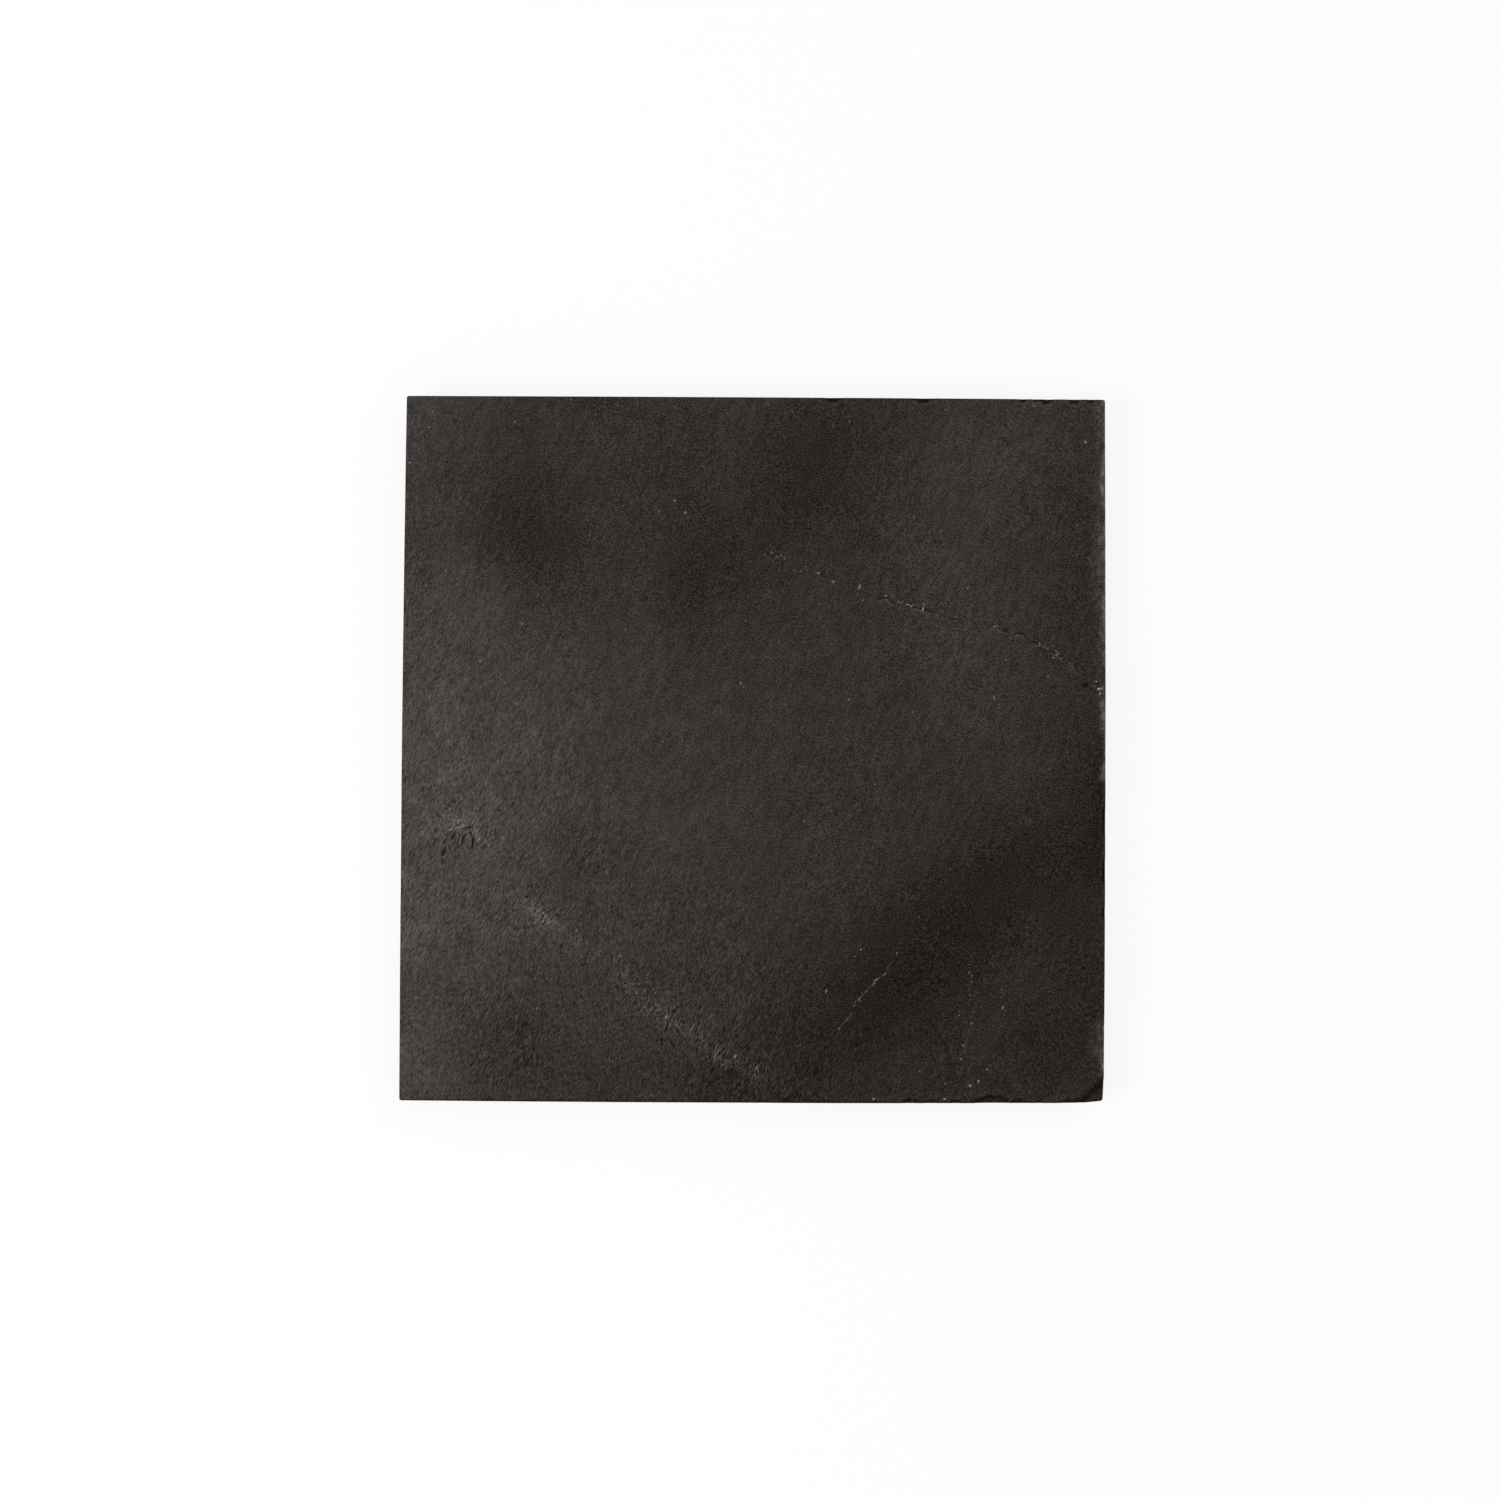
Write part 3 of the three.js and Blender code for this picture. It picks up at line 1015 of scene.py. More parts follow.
@dataclass(frozen=True)
class MouldedRubber:
    """Moulded rubber, black with carbon: matte, with the spark-eroded grain of its mould and faint dust."""

    black: str = "#1b1b1c"
    dusty: str = "#2b2a29"
    grain: StonePattern = StonePattern((0.35, 0.35, 0.35), detail=1.0)
    dust: StonePattern = StonePattern((3.0, 3.0, 3.0), detail=4.0)
    dust_band: tuple[float, float] = (0.4, 0.75)
    roughness: tuple[float, float] = (0.7, 0.92)
    bump_height: float = 0.03
    bump_strength: float = 0.6
    shine: float = 0.4
    ior: float = 1.52

    def material(self) -> Material:
        """Makes the material: black clouded by dust, and a fine even bump.

        Returns:
            The material.
        """
        material, tree = new_material("moulded_rubber")
        low, high = self.dust_band
        dusted = add_node(
            tree, "MapRange", {"Value": self.dust.value(tree), "From Min": low, "From Max": high}
        )
        colour = add_node(
            tree, "Mix",
            {"Factor_Float": dusted, "A_Color": rgba(self.black), "B_Color": rgba(self.dusty)},
            data_type="RGBA",
        )
        low, high = self.roughness
        dullness = add_node(tree, "MapRange", {"Value": dusted, "To Min": low, "To Max": high})
        bump = add_node(
            tree,
            "Bump",
            {
                "Strength": self.bump_strength, "Distance": self.bump_height * MM,
                "Height": self.grain.value(tree),
            },
            out="Normal",
        )
        shader = add_node(
            tree,
            "BsdfPrincipled",
            {
                "Base Color": colour, "Roughness": dullness, "Specular IOR Level": self.shine,
                "IOR": self.ior, "Normal": bump,
            },
        )
        add_node(tree, "OutputMaterial", {"Surface": shader})
        return material


@dataclass(frozen=True)
class FoamTape:
    """Double-sided foam tape: pale grey closed-cell foam, whose cut edge shows its cells."""

    pale: str = "#b9b6ac"
    shade: str = "#8f8c83"
    cell: float = 0.22
    wall_band: tuple[float, float] = (0.1, 0.6)
    bump_height: float = 0.06
    bump_strength: float = 0.5
    roughness: float = 0.6
    shine: float = 0.35

    def material(self) -> Material:
        """Makes the material: pale cell walls round darker cells, with the cells as a bump.

        Returns:
            The material.
        """
        material, tree = new_material("foam_tape")
        place = add_node(tree, "TexCoord", out="Object")
        cells = add_node(
            tree, "TexVoronoi", {"Vector": place, "Scale": 1.0 / (self.cell * MM)}, out="Distance"
        )
        low, high = self.wall_band
        walls = add_node(tree, "MapRange", {"Value": cells, "From Min": low, "From Max": high})
        colour = add_node(
            tree, "Mix", {"Factor_Float": walls, "A_Color": rgba(self.shade), "B_Color": rgba(self.pale)},
            data_type="RGBA",
        )
        bump = add_node(
            tree, "Bump",
            {"Strength": self.bump_strength, "Distance": self.bump_height * MM, "Height": walls},
            out="Normal",
        )
        shader = add_node(
            tree,
            "BsdfPrincipled",
            {
                "Base Color": colour, "Roughness": self.roughness, "Specular IOR Level": self.shine,
                "Normal": bump,
            },
        )
        add_node(tree, "OutputMaterial", {"Surface": shader})
        return material


@dataclass(frozen=True)
class RivenFace:
    """The split upper face: its relief, and the clouds, veins and specks of its tone.

    The swells, hollows and scar are those of the solid slab. Clouds are grey levels of 255 above or below
    the base level: partly the stone's own tone, and partly painted light, with painted shade over the
    hollows, a painted sheen on the left towards the key lamp and painted highlights along the scar.

    Attributes:
        plateau_rise: How far the mean of the swells lies above the highest cleavage plane.
        scar_width: Width of the scar's fall where it is fresh, and where it is weathered.
        scar_wander: How far two noises, of scar_pitches, each move its line.
        vein_reach: Distances from a vein where it is still full, and where it is gone.
        cleft: Depth and pitch of the leathery relief.
        streak: Depth, pitch and stretch of its streaks, which run at streak_turn degrees from +X.
        painted_light_slope: Change of the base grey for each millimetre to the right, a painted fall of
            light away from the key lamp at the left.
        cloud_stray: How far noise moves the clouds, and its pitch.
        mottle_share: Strength and pitch of the mottling.
        painted_scar_highlight: Grey levels of the painted highlight on the scar's lit slope, how far past
            the scar it lies, and its width.
        flecks: A row of numbers for each fleck.
        fleck_reach: Steps from a fleck past which it isn't drawn.
        fleck_margin: How far round a fleck faces are looked at for it.
        strewn: Share of the cells with a speck, all over and on veins.
        speck_band: Distance from a vein where its specks end.
        streaky_corner: Where the grain starts to run one way, towards the front left, and how soon.
        streaky_edge: The same along the left edge.
        streaky_stray: Strength and pitch of the noise in that.
        streaky_most: Share of the grain that runs one way, at most.
    """

    swells: tuple[Swell, ...] = (
        Swell(87, 154, 0.14, 0.1), Swell(53, 28, 0.1, 0.55), Swell(31, 171, 0.07, 0.8),
        Swell(23, 112, 0.05, 0.35),
    )
    hollows: tuple[Bell, ...] = bells(
        (56, -53, 57, 17, 42, 0.7), (19, 78, 21, 17, 20, 0.5), (-14, 52, 14, 10, 30, 0.35),
        (-65, 64, 20, 13, -25, 0.45), (-68, -85, 17, 12, 30, 0.3), (-46, -29, 13, 9, 60, 0.3),
        (90, 30, 45, 8, 90, 0.35),
    )
    plateau_rise: float = 0.06
    scar: StoneLine = StoneLine(
        (
            (-105, -11), (-91, -16.7), (-88.4, -20), (-81.7, -20.7), (-77, -26), (-69, -35.4), (-65.1, -40),
            (-61.8, -45.4), (-57.1, -48.7), (-51.8, -51.3), (-48.4, -56), (-43, -58.3), (-38.5, -61),
            (-37, -64.7), (-29.2, -72.4), (-20.5, -78), (-14.5, -81.3), (-12.2, -86), (-7.2, -89.3),
            (-1.2, -90), (2, -94), (10, -105),
        )
    )
    scar_drop: float = 0.45
    scar_width: Point = (1.6, 6.0)
    scar_wander: float = 0.8
    scar_pitches: Point = (9.0, 4.0)
    fresh_places: tuple[Bell, ...] = bells(
        (-82.5, -21.5, 9, 7, -15, 1.0), (-60.5, -46.5, 8, 4.5, -45, 0.95),
        (-65.5, -50.5, 4, 2.5, -20, 0.7), (-54, -51.5, 5, 3.5, -35, 0.6),
        (-46, -58.5, 5, 3.5, -40, 0.6), (-38, -64.5, 5, 3.5, -55, 0.9),
        (-27.5, -73.5, 10, 5.5, -37, 0.9), (-18, -80.5, 4, 2.5, -40, 0.8),
        (-12, -83.5, 4, 2.8, -55, 0.8), (-6.5, -88.3, 5, 3, -30, 0.9), (1, -93, 4, 3, -55, 0.7),
    )
    veins: tuple[StoneLine, ...] = (
        StoneLine(((4, 55.5), (12, 51.5), (22, 48.5), (32, 44.5)), 0.6),
        StoneLine(
            (
                (36, 43), (49, 39.5), (57, 37.2), (68, 34.7), (77, 32.5), (82, 28.8), (90, 25.5), (94, 21),
                (100, 16),
            )
        ),
        StoneLine(
            (
                (41.7, -56.6), (40.6, -59), (38.2, -62.2), (36.8, -64.4), (34.6, -65.9), (32, -69),
                (30.3, -71.3), (28.3, -75), (25.2, -78.4), (24, -80.2),
            ),
            -1.0,
        ),
        StoneLine(((61.3, -62.5), (62.3, -71), (62.5, -78), (60.2, -85), (61.5, -91), (62.5, -96)), -0.2),
        StoneLine(((54.4, -79), (53.9, -86), (54.2, -92.5)), -0.3),
    )
    vein_reach: tuple[float, float] = (2.0, 4.0)
    vein_depth: float = 0.1
    vein_width: float = 0.6
    cleft: Point = (0.05, 9.0)
    streak: tuple[float, float, float] = (0.03, 1.9, 2.6)
    streak_turn: float = 63.0
    base_grey: float = 50.6
    painted_light_slope: float = -0.03
    cloud_stray: Point = (4.0, 26.0)
    mottle_share: Point = (0.05, 12.0)
    painted_scar_highlight: tuple[float, float, float] = (3.0, 0.6, 1.8)
    # Partly the stone's own tone and partly painted light: the dark ones over the hollows are painted
    # shade, the pale ones on the left a painted sheen, and those along the scar painted highlights.
    clouds: tuple[Bell, ...] = bells(
        (-94, -6, 55, 30, 90, 14), (-62, -22, 52, 40, 60, 7), (-97, -50, 17, 13, 90, 7),
        (-86, -19, 10, 7, 0, 1), (-95, -88, 15, 13, 0, 13.5), (-98, 98, 13, 13, 0, 8),
        (58, 50, 44, 18, 95, 6), (72, 86, 22, 14, 0, 7), (68, -72, 20, 12, 70, 5),
        (-62, -48, 12, 5, -42, 4), (-84.5, -21.5, 4.5, 2.2, 15, 8), (-59.5, -46.5, 7, 3.5, -42, 5),
        (-25.5, -75, 5, 2.5, 20, 3), (-8, -89, 5, 2, -15, 7), (-22, -28, 22, 13, 0, 3),
        (-75, 43, 24, 11, 0, 6), (-56, 18, 14, 11, 0, 3), (79, -55, 18, 14, 30, 5),
        (78, -8, 12, 9, 0, 3), (-56, -86, 12, 8, 0, 4), (48, 90, 12, 10, 0, -5),
        (-44, 96, 14, 7, 0, -5), (-19, 80, 14, 14, 0, -3), (-88, -20, 18, 11, 90, -3),
        (2, 31, 12, 9, 0, -3), (6, -64, 14, 12, 0, -2), (48, -60, 62, 19, 42, -13),
        (84, -66, 60, 36, 42, -10), (12, -86, 20, 13, 45, -4), (99, -18, 24, 8, 88, -7),
        (90, -84, 14, 10, 0, -3), (18, 80, 22, 17, 80, -9), (-20, 62, 70, 24, 6, -4),
        (-14, 50, 16, 12, 40, -8), (-63, 63, 20, 13, 105, -12), (-46, -31, 13, 9, 60, -6),
        (-67, -84, 14, 10, 0, -9), (-45, -93, 40, 13, 0, -5), (-8, -97, 9, 6, 0, -7),
        (91, 38, 48, 7, 90, -4),
    )
    flecks: tuple[tuple[float, ...], ...] = (
        # The rough patch at the scar's left end.
        (-88.7, -19, 0.6, 0.38, 20, -0.8), (-87.7, -17.9, 0.65, 0.3, 75, -0.72),
        (-86.7, -16.9, 0.7, 0.34, -25, -0.72), (-85.9, -15.8, 0.65, 0.3, 65, -0.72),
        (-84.7, -14.9, 0.6, 0.34, -15, -0.72), (-91.5, -17.3, 1.1, 0.22, -65, -0.5),
        (-82.2, -21.8, 0.55, 0.4, 60, 0.5), (-83.7, -22.3, 0.8, 0.4, 25, 0.24),
        (-85.7, -22.8, 0.8, 0.4, 15, 0.2), (-83.4, -20.4, 0.7, 0.25, 60, 0.24),
        (-80.4, -22.2, 1.2, 0.42, 15, -0.9), (-79.9, -23.8, 0.9, 0.3, -70, -0.88),
        (-82, -25.4, 1.7, 0.35, 72, -0.9), (-79.3, -26.4, 2, 0.35, 84, -1),
        (-77.6, -25.4, 0.8, 0.35, 55, 0.2), (-75.9, -26, 0.8, 0.3, 70, 0.16),
        (-85, -24.8, 1.3, 0.38, 58, -0.8), (-87.1, -25.8, 1.3, 0.38, 66, -0.75),
        (-83.6, -27.2, 1.2, 0.28, -60, -0.7), (-87.5, -28.8, 1.6, 0.45, 72, -0.88),
        (-87.9, -31.8, 1.2, 0.3, 82, -0.72), (-90.3, -26.6, 1.2, 0.28, 72, -0.6),
        (-77, -22.6, 1, 0.3, 75, -0.6), (-75.4, -23.4, 1.2, 0.28, 80, -0.55),
        (-77.1, -20, 1, 0.4, 60, -0.5), (-65.6, -24.7, 1.2, 0.18, 60, -0.61),
        # Broken places further down the scar.
        (-64.1, -41.9, 0.75, 0.24, 0, -1), (-64.2, -40.6, 0.91, 0.21, 30, 0.18),
        (-61.6, -46.6, 1, 0.25, -60, 0.2), (-60.5, -47.8, 0.8, 0.25, 60, 0.2),
        (-59.3, -48.7, 0.7, 0.21, 50, 0.2), (-59, -47, 0.78, 0.21, -60, 0.2),
        (-61.3, -44.2, 1.05, 0.24, 60, -0.61), (-61.2, -46.4, 0.6, 0.18, 0, -0.55),
        (-58.5, -46.6, 1.05, 0.18, 45, -0.61), (-68.7, -49.9, 0.45, 0.18, 0, -0.77),
        (-53.9, -55.4, 1.05, 0.3, 60, -0.66), (-54.1, -58, 0.9, 0.24, 0, -0.77),
        (-55.3, -57.1, 0.6, 0.18, 60, -0.66), (-53.3, -52.4, 0.9, 0.18, 70, -0.55),
        (-53.1, -53.8, 0.6, 0.18, 0, -0.55), (-47.7, -61, 1.5, 0.24, 10, -0.77),
        (-46.9, -58.5, 1.8, 0.36, 70, -0.5), (-51.9, -51, 1.05, 0.15, -55, -0.61),
        (-37.5, -64.4, 1.95, 0.18, -85, -1), (-25.2, -64.5, 1.2, 0.18, 30, -0.66),
        (-40.8, -68.5, 1.2, 0.18, 80, -0.66), (-39.7, -73, 1.65, 0.18, 85, -0.77),
        (-38.3, -71.8, 0.9, 0.24, -30, -0.66), (-37.3, -72.6, 0.9, 0.18, -45, -0.66),
        (-36.7, -77.9, 1.2, 0.24, 65, -0.88), (-35.7, -76.6, 1.05, 0.18, 60, -0.77),
        (-38, -76.9, 1.05, 0.18, 10, -0.55), (-24.3, -75.9, 0.78, 0.35, 30, 0.24),
        (-25.3, -75.9, 0.45, 0.18, 0, -0.66), (-24.3, -79, 1.35, 0.24, 70, -0.77),
        (-23.9, -78, 0.9, 0.15, 80, -0.94), (-23.4, -78.6, 0.91, 0.21, 80, 0.2),
        (-21.6, -78, 1.04, 0.21, -50, 0.18), (-19.5, -77.6, 0.9, 0.24, 60, -0.66),
        (-23.7, -82.3, 1.2, 0.15, -45, -0.99), (-24.2, -82, 0.65, 0.15, -60, 0.2),
        (-22.7, -83.6, 1.35, 0.24, -60, -0.88), (-25.6, -83.3, 1.35, 0.24, 85, -0.88),
        (-26.9, -82.6, 0.9, 0.18, 30, -0.66), (-12.9, -84.3, 0.91, 0.21, 75, 0.18),
        (-11.7, -86.7, 1.65, 0.24, 75, -0.94), (-10.5, -87.3, 1.3, 0.21, 80, 0.18),
        (-10.9, -84.4, 0.9, 0.18, 80, -0.66), (-7.9, -89.4, 0.78, 0.21, 40, 0.18),
        (-6.7, -88.8, 1.2, 0.18, 85, -0.66), (-6.1, -91.5, 1.2, 0.24, 80, -0.83),
        (-4.9, -90.3, 1.8, 0.18, -70, -0.94), (-4.8, -87.2, 0.52, 0.21, 60, 0.2),
        (1.3, -90.4, 0.78, 0.21, 60, 0.2), (1.7, -91.3, 0.65, 0.15, -70, 0.18),
        (-11.4, -91.5, 1.65, 0.24, 80, -0.66), (-13.2, -89.1, 0.9, 0.18, 70, -0.55),
        (-8.3, -92.1, 1.05, 0.18, 80, -0.55),
        # The long vein, from its left end.
        (5.5, 55.9, 0.5, 0.22, 80, 0.45), (7.2, 54.7, 0.35, 0.2, -30, 0.4),
        (8.2, 55, 0.25, 0.2, 0, 0.3), (9.2, 54.2, 0.4, 0.18, -40, 0.35), (4.8, 55, 0.3, 0.2, 0, -0.55),
        (11, 53.3, 0.6, 0.3, -20, -0.55), (18.8, 50, 0.35, 0.22, 0, 0.5),
        (23, 47.6, 0.5, 0.2, -15, 0.35), (20.5, 48.9, 0.4, 0.3, 0, -0.61),
        (26, 46.3, 0.3, 0.3, 0, -0.55), (30.5, 46.1, 0.7, 0.22, 65, 0.6),
        (31.6, 44.6, 0.5, 0.2, -60, -0.55), (36.6, 42.9, 0.5, 0.3, 60, -0.66),
        (38, 43.6, 0.3, 0.3, 0, 0.3), (40, 42.3, 0.7, 0.2, -35, -0.83), (44.3, 41, 0.4, 0.2, -20, 0.35),
        (42.3, 41.7, 0.4, 0.18, -15, 0.25), (45.1, 40.6, 0.3, 0.3, 0, 0.27),
        (37.3, 38.2, 0.4, 0.3, 0, -0.66), (48.8, 41.2, 0.35, 0.2, 80, 0.4),
        (48.5, 39.9, 0.6, 0.22, 80, 0.5), (56.2, 37.3, 0.5, 0.3, 0, -0.77),
        (57.5, 37, 1.1, 0.2, -5, -0.88), (58.9, 37, 0.6, 0.2, 10, -0.61),
        (62.6, 35.8, 0.7, 0.2, -25, -0.55), (67.4, 34.9, 0.7, 0.2, 5, -0.55),
        (68.8, 34.9, 0.35, 0.22, 0, 0.35), (75.2, 33.1, 0.8, 0.2, 10, -0.66),
        (76.7, 32.6, 0.7, 0.2, -30, -0.66), (80.1, 30.5, 0.6, 0.3, -30, -0.83),
        (81.3, 29.9, 0.4, 0.2, 0, -0.66), (78.9, 31.1, 0.3, 0.2, 0, -0.55),
        (82.5, 28.2, 1.1, 0.2, -45, -0.72), (81.7, 29.6, 0.4, 0.2, -65, 0.3),
        (83.9, 28.5, 0.3, 0.2, 0, 0.34), (86.9, 27.2, 0.4, 0.16, -20, 0.3),
        (86.3, 27.9, 0.4, 0.13, -45, 0.24), (85.5, 26, 0.3, 0.2, 0, 0.36),
        (74, 30.8, 0.5, 0.3, 40, -0.55), (75, 31.1, 0.3, 0.3, 0, -0.5),
        (87.9, 26.6, 0.6, 0.2, 0, -0.55), (88.9, 26, 0.6, 0.2, 30, -0.55),
        (90.2, 26.7, 0.5, 0.2, 20, -0.55), (87.9, 22.8, 0.4, 0.3, 0, -0.66),
        (93.3, 23.7, 1.1, 0.2, -50, -0.88), (94.3, 21.3, 0.5, 0.3, 0, -0.83),
        # The quartz where that vein meets the right edge, and the dark blotch beside it.
        (98.5, 17.2, 0.42, 0.3, 30, 0.9), (99.4, 17.3, 0.3, 0.22, 60, 0.6),
        (98.8, 15.8, 0.5, 0.2, 75, 0.55), (97.7, 19.3, 0.4, 0.2, 0, 0.55),
        (94.6, 18.3, 1, 0.7, 20, -0.94), (94.2, 19.6, 0.5, 0.3, 30, -0.61),
        (97.6, 18.8, 0.4, 0.3, 0, -0.88), (96.2, 17.3, 0.6, 0.2, -15, -0.77),
        (98.3, 16.2, 0.4, 0.2, 30, -0.88),
        # Specks that are strewn over the rest of the face.
        (-22, 70.6, 0.3, 0.3, 0, 0.35), (-19, 67.2, 0.4, 0.3, 0, 0.35), (-18.2, 66, 0.3, 0.2, 0, 0.28),
        (6.6, 54.2, 0.3, 0.2, 0, 0.21), (13.6, 50.6, 0.2, 0.2, 0, 0.24),
        (-65.3, 35.6, 0.3, 0.3, 0, 0.24), (-77.2, 25.1, 0.4, 0.3, 0, 0.28),
        (-3.3, 18.8, 0.4, 0.3, 60, 0.21), (-2.4, 17.6, 0.3, 0.3, 0, 0.17),
        (14.7, -20.4, 0.3, 0.3, 0, 0.28), (46, 65.8, 0.3, 0.2, 0, 0.21), (41.7, 83, 0.3, 0.2, 0, 0.21),
        (-1.8, 36.5, 0.3, 0.2, 0, 0.17), (27.5, 14.1, 0.3, 0.25, 0, 0.35),
        (21, -68.6, 0.6, 0.22, 80, 0.5), (68.7, 14.6, 0.8, 0.18, -60, 0.25),
        (71.2, -73.3, 0.6, 0.22, 70, 0.4), (61.9, -95.5, 0.4, 0.3, 60, 0.5),
        (64.2, -94.2, 0.4, 0.3, 0, 0.5), (34.5, -99.2, 0.3, 0.3, 0, 0.4),
        (66.7, -90.8, 0.3, 0.25, 0, 0.4), (61.6, -63.4, 0.6, 0.16, 60, 0.32),
        (62.4, -77.8, 0.4, 0.18, 80, 0.3), (59.9, -84, 0.5, 0.16, -50, 0.32),
        (59.3, -87.9, 0.3, 0.22, 0, 0.35), (54.7, -99.2, 0.35, 0.3, 0, 0.45),
        (54.7, -94.8, 0.3, 0.25, 0, 0.35), (30.9, -56.8, 0.3, 0.25, 0, 0.4),
        (29.2, -58.8, 0.3, 0.2, 0, 0.3), (41.2, -57.8, 0.5, 0.14, 65, 0.35),
        (35.3, -65.4, 0.5, 0.12, 35, 0.35), (30.4, -71, 0.4, 0.14, 50, 0.35),
        (24.6, -79.3, 0.5, 0.14, 50, 0.35), (80, 97.4, 0.4, 0.3, 0, 0.24),
        (94.6, 87.2, 0.4, 0.4, 0, 0.35), (81.2, 91.2, 0.3, 0.3, 0, 0.14),
        (27.7, 93.1, 0.3, 0.3, 0, 0.24), (55, 96.5, 0.3, 0.2, 0, 0.21),
        (-51.4, 99.2, 0.3, 0.2, 0, 0.21), (-91.7, 91.5, 0.4, 0.3, 0, 0.21),
        (-97.2, 81.4, 0.4, 0.3, 0, 0.24), (-67.3, 93, 0.3, 0.2, 0, 0.21),
        (83.9, 20.7, 0.3, 0.2, 0, 0.24), (61.3, 45.8, 0.4, 0.3, 70, 0.21),
        (31.4, 42.3, 0.3, 0.2, 0, 0.28),
    )
    fleck_reach: float = 8.0
    fleck_margin: float = 1.5
    strewn: Point = (0.0012, 0.07)
    speck_band: float = 1.3
    speckled: tuple[Bell, ...] = bells(
        (61.5, -79, 19, 2.6, 92, 0.12), (71, -73, 4, 1.5, 80, 0.1), (7.2, 55, 2.6, 1.2, -30, 0.3),
        (29.5, 45.5, 3, 1.4, -20, 0.12), (44, 41.2, 6, 1.2, -15, 0.15), (73, 33.4, 7, 1.4, -15, 0.12),
        (85, 27.8, 4, 1.6, -35, 0.15),
    )
    leather: StoneNoise = StoneNoise(11)
    ragged: StoneNoise = StoneNoise(23)
    mottle: StoneNoise = StoneNoise(41)
    streaky_corner: Point = (5.0, 90.0)
    streaky_edge: Point = (60.0, 30.0)
    streaky_stray: Point = (0.2, 40.0)
    streaky_most: float = 0.45

    def scar_offset(self, x: Array, y: Array) -> Array:
        """Measures how far points lie past the scar: the distance to its line plus two noises.

        Args:
            x: Places across the slab.
            y: Places along the slab.

        Returns:
            The signed distance, positive where the top layer is gone.
        """
        wide, fine = self.scar_pitches
        noises = self.ragged.at(x, y, wide), self.ragged.at(y, x, fine)
        wander = self.scar_wander * noises[0] + self.scar_wander * noises[1]
        return self.scar.offset(x, y) + wander

    def fresh(self, x: Array, y: Array) -> Array:
        """How fresh the scar is, from 1 where its ledge is crisp to 0 where it is weathered away."""
        return np.clip(sum(spot.value_at(x, y) for spot in self.fresh_places), 0.0, 1.0)

    def vein_offset(self, x: Array, y: Array) -> Array:
        """Signed distance to the nearest vein."""
        offsets = np.stack([vein.offset(x, y) for vein in self.veins])
        nearest = np.argmin(np.abs(offsets), axis=0)
        return np.take_along_axis(offsets, nearest[None], axis=0)[0]

    def vein_near(self, x: Array, y: Array) -> Array:
        """Strength of the plainest vein, full on it and 0 out of its reach.

        Args:
            x: Places along X.
            y: Places along Y.

        Returns:
            The strength, below 0 for a pale vein.
        """
        near, far = self.vein_reach
        shares = np.stack(
            [
                vein.strength * smoothstep((far - np.abs(vein.offset(x, y))) / (far - near))
                for vein in self.veins
            ]
        )
        plainest = np.argmax(np.abs(shares), axis=0)
        return np.take_along_axis(shares, plainest[None], axis=0)[0]

    def height(self, x: Array, y: Array) -> Array:
        """Height of the face, never above its highest cleavage plane.

        Swells rise to the plane and are cut off flat by it, and hollows dip below it. Past the scar the top
        layer is gone: in a crisp ledge where the scar is fresh, and else in a slope. Fine leathery relief
        and a groove along each dark vein are cut downwards from that.

        Args:
            x: Places along X.
            y: Places along Y.

        Returns:
            The height at each place, 0 or less.
        """
        swells = sum(swell.height_at(x, y) for swell in self.swells)
        hollows = sum(hollow.value_at(x, y) for hollow in self.hollows)
        plane = np.minimum(self.plateau_rise + swells - hollows, 0.0)
        past, fresh = self.scar_offset(x, y), self.fresh(x, y)
        crisp, eased = self.scar_width
        fall = fresh * smoothstep(past / crisp) + (1.0 - fresh) * smoothstep(0.5 + past / eased)
        along, across = turned_axes(x, y, self.streak_turn)
        depth, pitch = self.cleft
        leather = depth * (1.0 + self.leather.fractal(x, y, pitch, 3) / 2.0)
        depth, pitch, stretch = self.streak
        leather += depth * (1.0 + self.leather.at(along / stretch, across, pitch))
        cracked = np.maximum(self.vein_near(x, y), 0.0)
        groove = self.vein_depth * cracked * np.exp(-((self.vein_offset(x, y) / self.vein_width) ** 2))
        return plane - self.scar_drop * fall - np.maximum(leather, 0.0) - groove

    def grey(self, x: Array, y: Array) -> Array:
        """Grey level of the face.

        Clouds, partly the stone's own tone and partly painted shade, sheen and highlights, stand on a base
        that falls slowly to the right, a painted fall of light away from the key lamp at the left. Their
        places are moved a little by noise, so that no cloud is a plain ellipse, and mottling in proportion
        to the level lies over them. A painted highlight makes the scar's lit slope paler where it is fresh.

        Args:
            x: Places along X.
            y: Places along Y.

        Returns:
            The grey level at each place, of 255.
        """
        stray, pitch = self.cloud_stray
        wx = x + stray * self.mottle.fractal(x, y, pitch, 2)
        wy = y + stray * self.mottle.fractal(y, x, pitch, 2)
        # The base falls to the right, a painted fall of light away from the key lamp at the left, and the
        # clouds are partly painted shade and sheen.
        level = self.base_grey + self.painted_light_slope * x
        level = level + sum(cloud.value_at(wx, wy) for cloud in self.clouds)
        share, pitch = self.mottle_share
        level = level * (1.0 + share * self.mottle.fractal(x, y, pitch, 4))
        # A painted highlight on the scar's lit slope, where the scar is fresh.
        most, past, width = self.painted_scar_highlight
        painted_scar_highlight = self.fresh(x, y) * np.exp(-(((self.scar_offset(x, y) - past) / width) ** 2))
        return level + most * painted_scar_highlight

